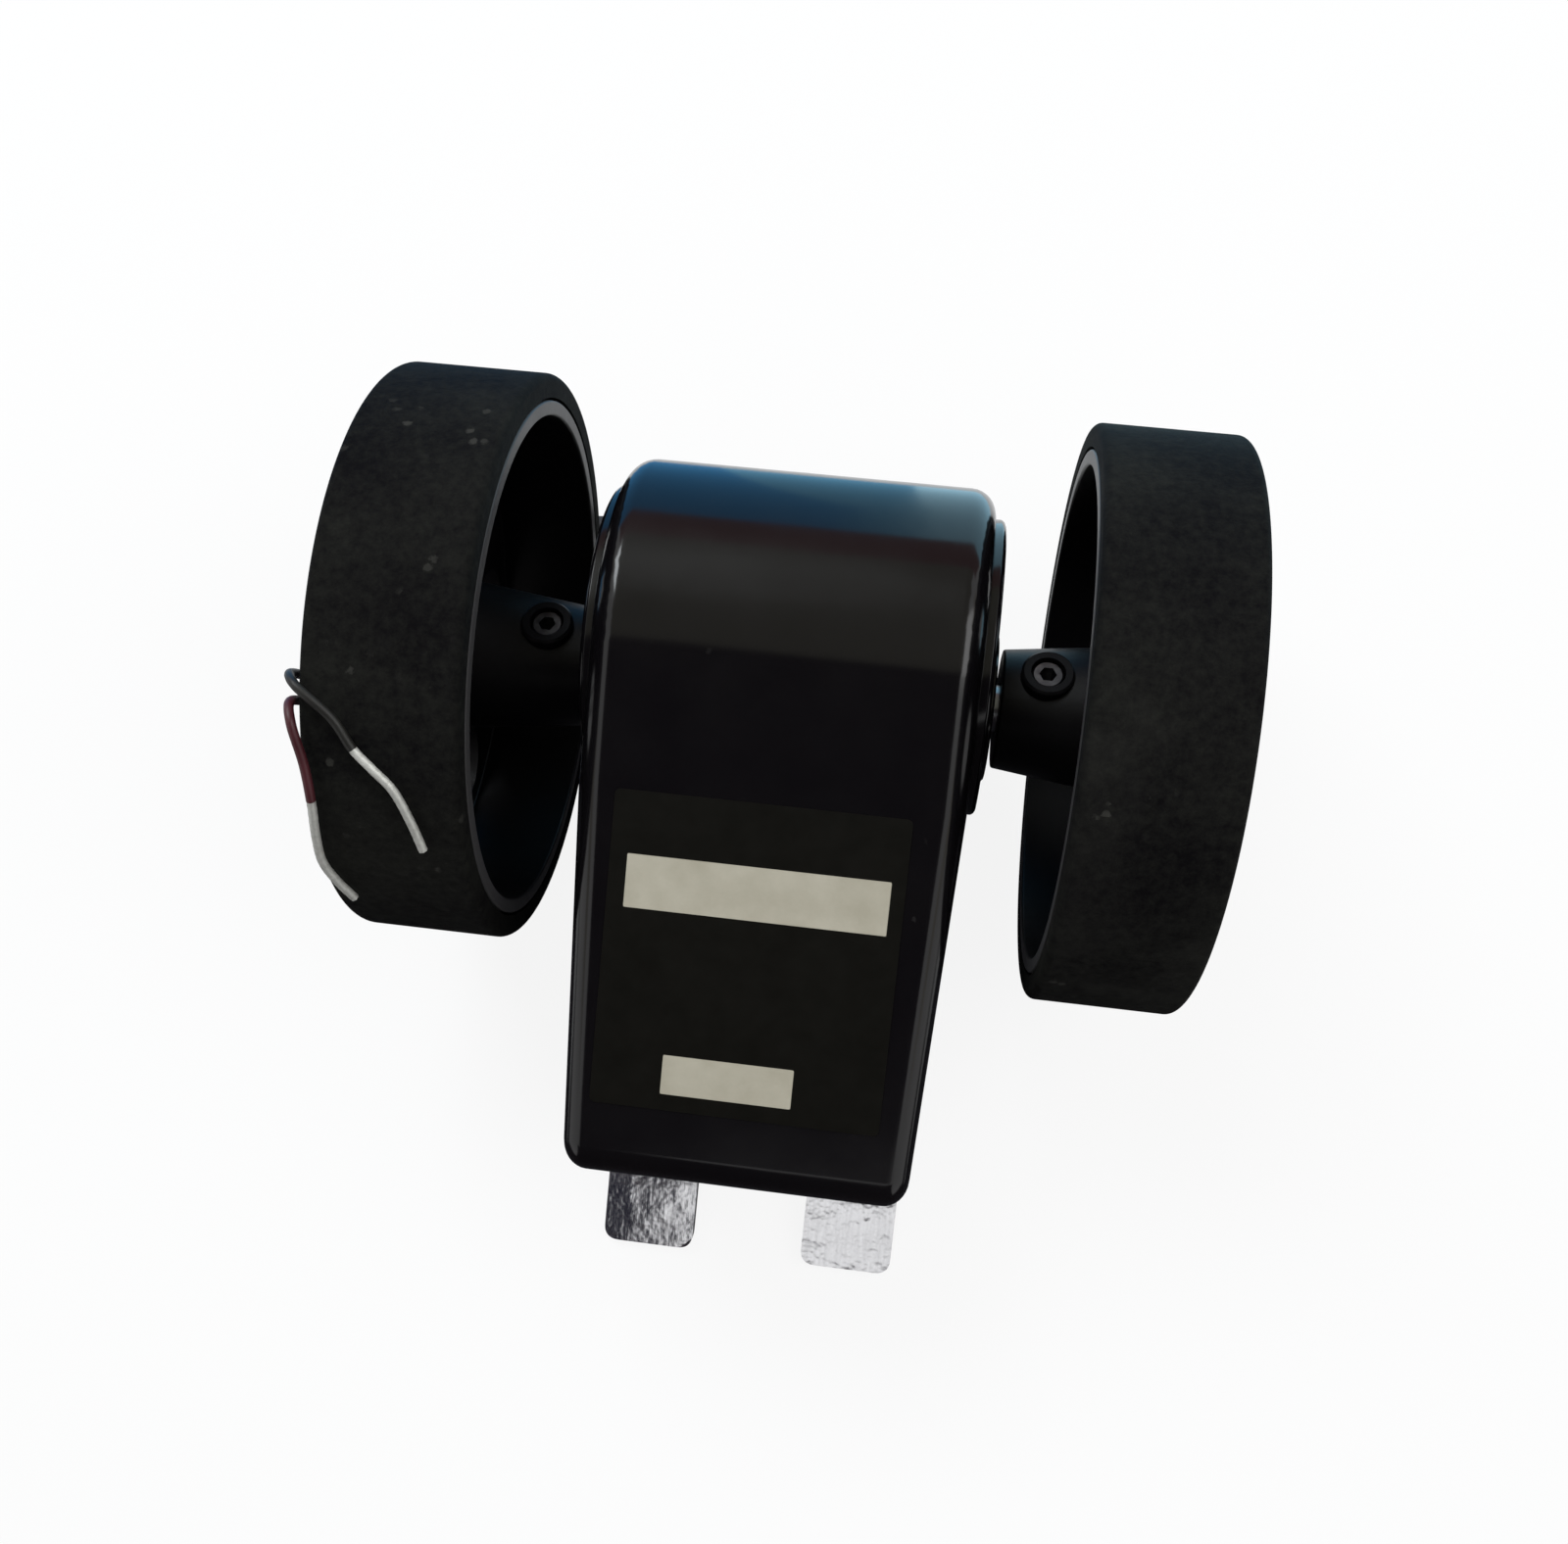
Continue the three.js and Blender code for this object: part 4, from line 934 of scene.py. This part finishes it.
for name, x, s0, s1, width, lift, thick, corner, look in (
    ("label", -0.55, 12.7, 50.7, 34.9, 0, FILM, 0.8 * MM, label_film),
    ("label_box_large", -0.35, 20.2, 26.6, 31.1, FILM, PATCH, 0.2 * MM, label_pale),
    ("label_box_small", -1.7, 43.9, 48.7, 15.7, FILM, PATCH, 0.2 * MM, label_pale),
):
    sheet(name, x * MM, s0 * MM, s1 * MM, width * MM, lift, thick, corner, look)
print("label ready")

# %% [markdown]
# ## Wheels
# Each wheel is a rim with a web, a hub with a set-screw pad and a rib, and a rubber tyre.
# The left wheel is the mirror image of the right one.

# %% Wheels
# Radii of the rim and places along the shaft, in millimetres.
HUB_BORE = 3.3
HUB_RADIUS = 7.6
HUB_FLARE = 10.2
HUB_FACES = (26.1, 51.0)
WEB_FACES = (47.3, 49.9)
RIB = (40.1, 45.1)
RIB_HEIGHT = 0.7
HOLES = 6
HOLE_RADIUS = 5.5 * MM
HOLE_CIRCLE = 23.49 * MM
PAD_PLACE = 31.5 * MM
PAD_RADIUS = 3.3 * MM
GROOVE = (39.8 * MM, 45.4 * MM)
TYRE_EDGE = 1 * MM


def mirrored(points, side):
    return [(r, side * x) for r, x in points]


def make_rim(side):
    """A rim with its web and hub, and the place of its set screw's pad."""
    outside = RIM_RADIUS / MM
    inside = (RIM_RADIUS - RIM_WALL) / MM
    faces = (WHEEL_INNER / MM, WHEEL_OUTER / MM)
    profile = [
        (HUB_BORE, HUB_FACES[0]),
        (HUB_RADIUS, HUB_FACES[0]),
        (HUB_FLARE, WEB_FACES[0]),
        (inside, WEB_FACES[0]),
        (inside, faces[0]),
        (outside, faces[0]),
        (outside, RIB[0]),
        (outside + RIB_HEIGHT, RIB[0]),
        (outside + RIB_HEIGHT, RIB[1]),
        (outside, RIB[1]),
        (outside, faces[1]),
        (inside, faces[1]),
        (inside, WEB_FACES[1]),
        (HUB_RADIUS, WEB_FACES[1]),
        (HUB_RADIUS, HUB_FACES[1]),
        (HUB_BORE, HUB_FACES[1]),
    ]
    profile = [(r * MM, x * MM) for r, x in rounded(profile, 0.35, 3)]
    thing = turned("rim", mirrored(profile, side), 144, AXLE)
    pad_lean = Matrix.Rotation(-TAP_LEAN, 4, "X") @ Matrix.Rotation(-QUARTER, 4, "Y")
    at_pad = AXLE @ Matrix.Translation((side * PAD_PLACE, 0, 0)) @ pad_lean
    combine(thing, "UNION", bar("pad", PAD_RADIUS, 5.78 * MM, 9.16 * MM, 40, at_pad, 0.3 * MM))
    combine(thing, "DIFFERENCE", bar("thread", 2.15 * MM, 2 * MM, 12 * MM, 36, at_pad))
    for k in range(HOLES):
        angle = TURN * k / HOLES
        centre = (0, HOLE_CIRCLE * math.cos(angle), HOLE_CIRCLE * math.sin(angle))
        place = AXLE @ Matrix.Translation(centre)
        hole = bar("hole", HOLE_RADIUS, *span(side, 46, 53), 48, place)
        combine(thing, "DIFFERENCE", hole)
    return thing, at_pad


def make_tyre(side):
    """A tyre with rounded edges and a groove for the rim's rib."""
    seat = RIM_RADIUS + FIT
    low = TYRE_RADIUS - TYRE_EDGE
    groove = seat + RIB_HEIGHT * MM
    inner, outer = WHEEL_INNER + TYRE_EDGE, WHEEL_OUTER - TYRE_EDGE
    bend = [(TYRE_EDGE * math.sin(a), TYRE_EDGE * math.cos(a)) for a in np.linspace(0, QUARTER, 9)]
    profile = [
        (seat, WHEEL_INNER),
        *[(low + rise, inner - draw) for rise, draw in bend],
        *[(low + rise, outer + draw) for draw, rise in bend],
        (seat, WHEEL_OUTER),
        (seat, GROOVE[1]),
        (groove, GROOVE[1]),
        (groove, GROOVE[0]),
        (seat, GROOVE[0]),
    ]
    return turned("tyre", mirrored(profile, side), 192, AXLE)


def grub_screw(name, matrix, radius, low, high, socket):
    """A set screw along its own X, with a six-sided socket and a chamfered end."""
    thing = bar(name, radius, low, high, 36, matrix, 0.25 * MM)
    drill = bar("drill", socket, (low + high) / 2, high + 1 * MM, 6, matrix)
    return combine(thing, "DIFFERENCE", drill)


for hand, side in (("left", -1), ("right", 1)):
    rim, at_pad = make_rim(side)
    rim.name = f"{hand}_wheel_rim"
    tyre = make_tyre(side)
    tyre.name = f"{hand}_wheel_tyre"
    screw = grub_screw(f"{hand}_set_screw", at_pad, 2 * MM, 3.3 * MM, 8.66 * MM, 1.1 * MM)
    for thing, node, look, slot in (
        (rim, f"{hand}_rim", satin, "black_rim_plastic"),
        (tyre, f"{hand}_tyre", rubber, "tyre_rubber"),
        (screw, f"{hand}_hub_screw", dark_steel, "dark_steel"),
    ):
        wear(finished(thing), look)
        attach(thing, "axle")
        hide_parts(node)
    print(hand, "wheel", len(rim.data.polygons) + len(tyre.data.polygons), "faces")

# %% [markdown]
# ## Shaft
# One turned steel bar carries both wheels. Its radii and places are in millimetres.

# %% Shaft
SHAFT_END = 50.8
SHOULDER = 15.6
CHAMFER = 0.4
half = [
    (4, SHOULDER),
    (3, SHOULDER),
    (3, SHAFT_END - CHAMFER),
    (3 - CHAMFER, SHAFT_END),
    (0, SHAFT_END),
]
profile = [(r * MM, -x * MM) for r, x in reversed(half)] + [(r * MM, x * MM) for r, x in half]
shaft = turned("wheel_shaft", profile, 64, AXLE)
wear(shaft, steel)
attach(shaft, "axle")
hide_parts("shaft")
print("shaft", len(shaft.data.polygons), "faces")

# %% [markdown]
# ## Bracket and screws
# The bracket is a plated sheet with two ears and soft sheared edges. The screws have a cross
# recess.

# %% Bracket and screws
PLATE = (-15.8 * MM, -13.8 * MM)
EAR_HOLE = 2.25 * MM
PLATE_TOP, FORK, EAR_TIP = -32, -63, -83.6
EAR_INSIDE, EAR_OUTSIDE = 8, 21
ears = [
    (EAR_OUTSIDE, PLATE_TOP), (-EAR_OUTSIDE, PLATE_TOP),
    (-EAR_OUTSIDE, EAR_TIP), (-EAR_INSIDE, EAR_TIP),
    (-EAR_INSIDE, FORK), (EAR_INSIDE, FORK),
    (EAR_INSIDE, EAR_TIP), (EAR_OUTSIDE, EAR_TIP),
]
ears = [(x * MM, y * MM) for x, y in rounded(ears, 2.2, 8)]
bracket = plate("tail_bracket", ears, *PLATE, HOUSING)
for x, y, radius in (
    (SCREW_SIDE, -TAIL_SCREW, SCREW_HOLE),
    (-SCREW_SIDE, -TAIL_SCREW, SCREW_HOLE),
    (14.5 * MM, -69 * MM, EAR_HOLE),
    (-14.5 * MM, -69 * MM, EAR_HOLE),
):
    drill = upright("drill", radius, x, y, PLATE[0] - 2.2 * MM, PLATE[1] + 1.8 * MM, 40)
    combine(bracket, "DIFFERENCE", drill)
bevel(bracket, 0.22 * MM, 3)
wear(finished(bracket), plated)
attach(bracket, "housing")
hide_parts("mount_bracket")


def cross_screw(name, matrix, under):
    """A screw along its own X, its head at the lower end and under it the place of its seat."""
    radius, tip, chamfer = 1.4 * MM, 9 * MM, 0.35 * MM
    head, height = 2.8 * MM, 1.9 * MM
    top = under - height
    profile = [
        (0, top),
        (0.72 * head, top),
        (0.93 * head, top + 0.18 * height),
        (head, top + 0.45 * height),
        (head, under),
        (radius, under),
        (radius, tip - chamfer),
        (radius - chamfer, tip),
        (0, tip),
    ]
    thing = turned(name, profile, 40, matrix)
    arm, half = 0.55 * head, 0.32 * MM
    for a, b in ((arm, half), (half, arm)):
        cut = block("cut", top - 1 * MM, top + 1 * MM, -a, a, -b, b, matrix)
        combine(thing, "DIFFERENCE", cut)
    return thing


screw_places = {
    "shell_screw_left": (-SCREW_SIDE, HEAD_SCREW, -14.3 * MM),
    "shell_screw_right": (SCREW_SIDE, HEAD_SCREW, -14.3 * MM),
    "bracket_screw_left": (-SCREW_SIDE, -TAIL_SCREW, -16.1 * MM),
    "bracket_screw_right": (SCREW_SIDE, -TAIL_SCREW, -16.1 * MM),
}
for node, (x, y, under) in screw_places.items():
    matrix = HOUSING @ Matrix.Translation((x, y, 0)) @ Matrix.Rotation(-QUARTER, 4, "Y")
    thing = cross_screw(node + "_fine", matrix, under)
    wear(thing, steel)
    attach(thing, "housing")
    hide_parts(node)
print("bracket and screws ready")

# %% [markdown]
# ## Cable outlet
# A moulded boot with three grooves narrows round the cable. Its radii and places along the tail
# are in millimetres.

# %% Cable outlet
BOOT_BORE = 2.1
profile = [
    (BOOT_BORE, 14.5), (2.6, 14.5), (2.6, 17.3), (3.2, 17.3), (3.2, 18.5), (3.0, 18.5),
    (2.915, 20.1), (2.62, 20.1), (2.58, 21.15), (2.86, 21.15),
    (2.79, 22.2), (2.48, 22.2), (2.44, 23.3), (2.72, 23.3),
    (2.65, 24.35), (2.34, 24.35), (2.3, 25.4), (2.58, 25.4),
    (2.5, 27), (BOOT_BORE, 27),
]
profile = [(r * MM, x * MM) for r, x in rounded(profile, 0.18, 3)]
gland = turned("cable_boot", profile, 64, along_tail)
wear(gland, resin)
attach(gland, "housing")
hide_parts("cable_gland")
print("cable outlet ready")

# %% [markdown]
# ## Cable dressed
# The tie is a flat band round both layers of the coil. The cable stands for three nodes of the
# CAD model, and each core for one.

# %% Cable dressed
TIE_ANGLE = math.radians(225)
BAND = 0.6
BAND_HALF_WIDTH = 1.3


def band_outline(grow, radius):
    """The band's loop round the coil's cords, seen along them, in millimetres."""
    near, far, low, high = 8.475 - grow, 25.675 + grow, 0.65 - grow, 9.05 + grow
    return rounded([(near, low), (far, low), (far, high), (near, high)], radius, 8)


outer, inner = band_outline(BAND, 1.6), band_outline(0, 1.2)
count = len(outer)
points = []
for y in (-BAND_HALF_WIDTH, BAND_HALF_WIDTH):
    points += [(x * MM, y * MM, z * MM) for x, z in outer + inner]
faces = []
for i in range(count):
    j = (i + 1) % count
    for a, b in ((0, 1), (2, 3), (0, 2), (1, 3)):
        faces.append((a * count + i, a * count + j, b * count + j, b * count + i))
at_coil = Matrix.Translation((COIL_CENTRE[0] * MM, COIL_CENTRE[1] * MM, 0))
at_tie = TABLE @ at_coil @ Matrix.Rotation(TIE_ANGLE, 4, "Z")
tie = make("coil_band", points, faces, at_tie)
bevel(tie, 0.12 * MM, 2, 60)
wear(tie, tie_look)
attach(tie, "housing")
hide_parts("coil_tie")

wear(cable, jacket)
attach(cable, "housing")
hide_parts("cable_run", "cable_coil", "cable_tail")
for name, (path, core) in cores.items():
    wear(core, sleeve_looks[name], tinned)
    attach(core, "housing")
    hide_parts(name)
    name + "_sleeve"
print("cords dressed", 1 + len(cores))

# %% [markdown]
# ## Inner pieces
# The pieces inside keep their CAD meshes and get materials.

# %% Inner pieces
inner_looks = {
    "left_outer_ring": steel,
    "right_outer_ring": steel,
    "left_inner_ring": steel,
    "right_inner_ring": steel,
    "left_ball_cage": steel,
    "right_ball_cage": steel,
    "board_screw_1": steel,
    "board_screw_2": steel,
    "disc_hub_screw": steel,
    "disc_hub": alloy,
    "encoder_disc": dark_steel,
    "circuit_board": board_look,
    "photo_sensor": resin,
    "pulse_chip": resin,
    "smoothing_capacitor": sleeve_dark,
    "cable_inner_end": jacket,
}
for node, look in inner_looks.items():
    smooth(wear(nodes[node], look), 30)
print("inner pieces", len(inner_looks))

# %% [markdown]
# ## Floor, light and background
# The floor is plain and pale, and keeps the object's shadow. The camera, glossy and clear
# surfaces see white round the object. Coloured and dark cards stand round it and show in gloss
# only: they give the housing the bands of blue, brown, grey and black of the photograph.

# %% Floor, light and background
PALE = 0.88  # the floor's colour, and its plain share for camera rays
FLOOR_IN_GLOSS = 0.25
WORLD_LIGHT = 0.38
OVER_FLOOR = 0.0006
WHITE = (1, 1, 1, 1)

floor = plate("floor", [(-3, -3), (3, -3), (3, 3), (-3, 3)], -0.004, 0)
floor_look = Look("floor", Base_Color=(PALE, PALE, PALE, 1), Roughness=0.9, Specular_IOR_Level=0.1)
plain = Term(floor_look, floor_look.shader.outputs[0])
glow = floor_look.node("Emission", 0, {"Color": WHITE})
share = floor_look.seen_directly(PALE, FLOOR_IN_GLOSS)
floor_look.surface(floor_look.node("MixShader", 0, {0: share, 1: plain, 2: glow}))
wear(floor, floor_look)

world = bpy.data.worlds.new("studio")
world.use_nodes = True
scene.world = world
sky = Shading(world.node_tree)
plain = sky.node("Background", 0, {"Color": WHITE, "Strength": WORLD_LIGHT})
white = sky.node("Background", 0, {"Color": WHITE, "Strength": 1})
blend = sky.node("MixShader", 0, {0: sky.seen_directly(1, 1), 1: plain, 2: white})
sky.feed(world.node_tree.nodes["World Output"].inputs["Surface"], blend)


def lamp(name, place, aim, width, height, power, colour=(1, 1, 1)):
    data = bpy.data.lights.new(name, "AREA")
    data.shape = "RECTANGLE"
    data.size, data.size_y = width, height
    data.energy = power
    data.color = colour
    thing = bpy.data.objects.new(name, data)
    scene.collection.objects.link(thing)
    thing.location = place
    thing.rotation_euler = (Vector(aim) - Vector(place)).to_track_quat("-Z", "Y").to_euler()
    return thing


def card(name, path, left, right, level):
    """A studio card along a path of (y, z) places that only gloss sees."""
    points = [(x, y, z) for y, z in path for x in (left, right)]
    faces = [(i, i + 1, i + 3, i + 2) for i in range(0, len(points) - 2, 2)]
    thing = make(name, points, faces)
    look = Look(name)
    wear(thing, look.surface(look.node("Emission", 0, {"Color": (*level, 1)})))
    thing.visible_camera = False
    thing.visible_diffuse = False
    thing.visible_shadow = False
    thing.visible_transmission = False
    thing.visible_volume_scatter = False
    return thing


lamp("key", (-0.3, 0.5, 0.7), (0, 0, 0.03), 0.5, 0.4, 5.2, (0.92, 0.97, 1))
lamp("fill", (0.5, 0.1, 0.65), (0, 0, 0.03), 0.5, 0.5, 2.0)
behind = [(0.085, OVER_FLOOR), (0.6, OVER_FLOOR), (0.6, 0.23)]
before = [(-0.56, 0.62), (-0.8, 0.3), (-0.8, OVER_FLOOR), (-0.09, OVER_FLOOR)]
for name, path, left, right, level in (
    ("blue_card", behind, -0.6, -0.02, (0.11, 0.46, 0.92)),
    ("light_blue_card", behind, -0.02, 0.012, (0.25, 0.68, 1.05)),
    ("pale_blue_card", behind, 0.012, 0.6, (0.8, 1.4, 1.75)),
    ("brown_card", [(0.6, 0.23), (0.6, 0.47)], -0.5, 0.5, (0.32, 0.18, 0.17)),
    ("grey_card", [(0.6, 0.47), (0.35, 0.75), (-0.13, 0.75)], -0.34, 0.34, (0.33, 0.32, 0.26)),
    ("dark_card", [(-0.13, 0.75), (-0.47, 0.62)], -0.34, 0.34, (0.03, 0.025, 0.03)),
    ("small_dark_card", [(-0.47, 0.62), (-0.6, 0.62)], -0.34, -0.1, (0.02, 0.02, 0.03)),
    ("front_card", before, -0.5, 0.5, (0.035, 0.03, 0.035)),
    # The under card is painted shade: a dark sheet under the object that gloss sees in place of the
    # shadowed floor.
    ("under_card", [(-0.09, OVER_FLOOR), (0.035, OVER_FLOOR)], -0.14, 0.14, (0.03, 0.03, 0.035)),
    ("left_card", [(-0.4, 0.5), (0.5, 0.5)], -0.75, -0.5, (0.6, 0.57, 0.5)),
    ("right_card", [(-0.4, 0.5), (0.5, 0.5)], 0.5, 0.75, (0.8, 0.76, 0.66)),
):
    card(name, path, left, right, level)

scene.view_settings.view_transform = "Standard"
print("stage ready")
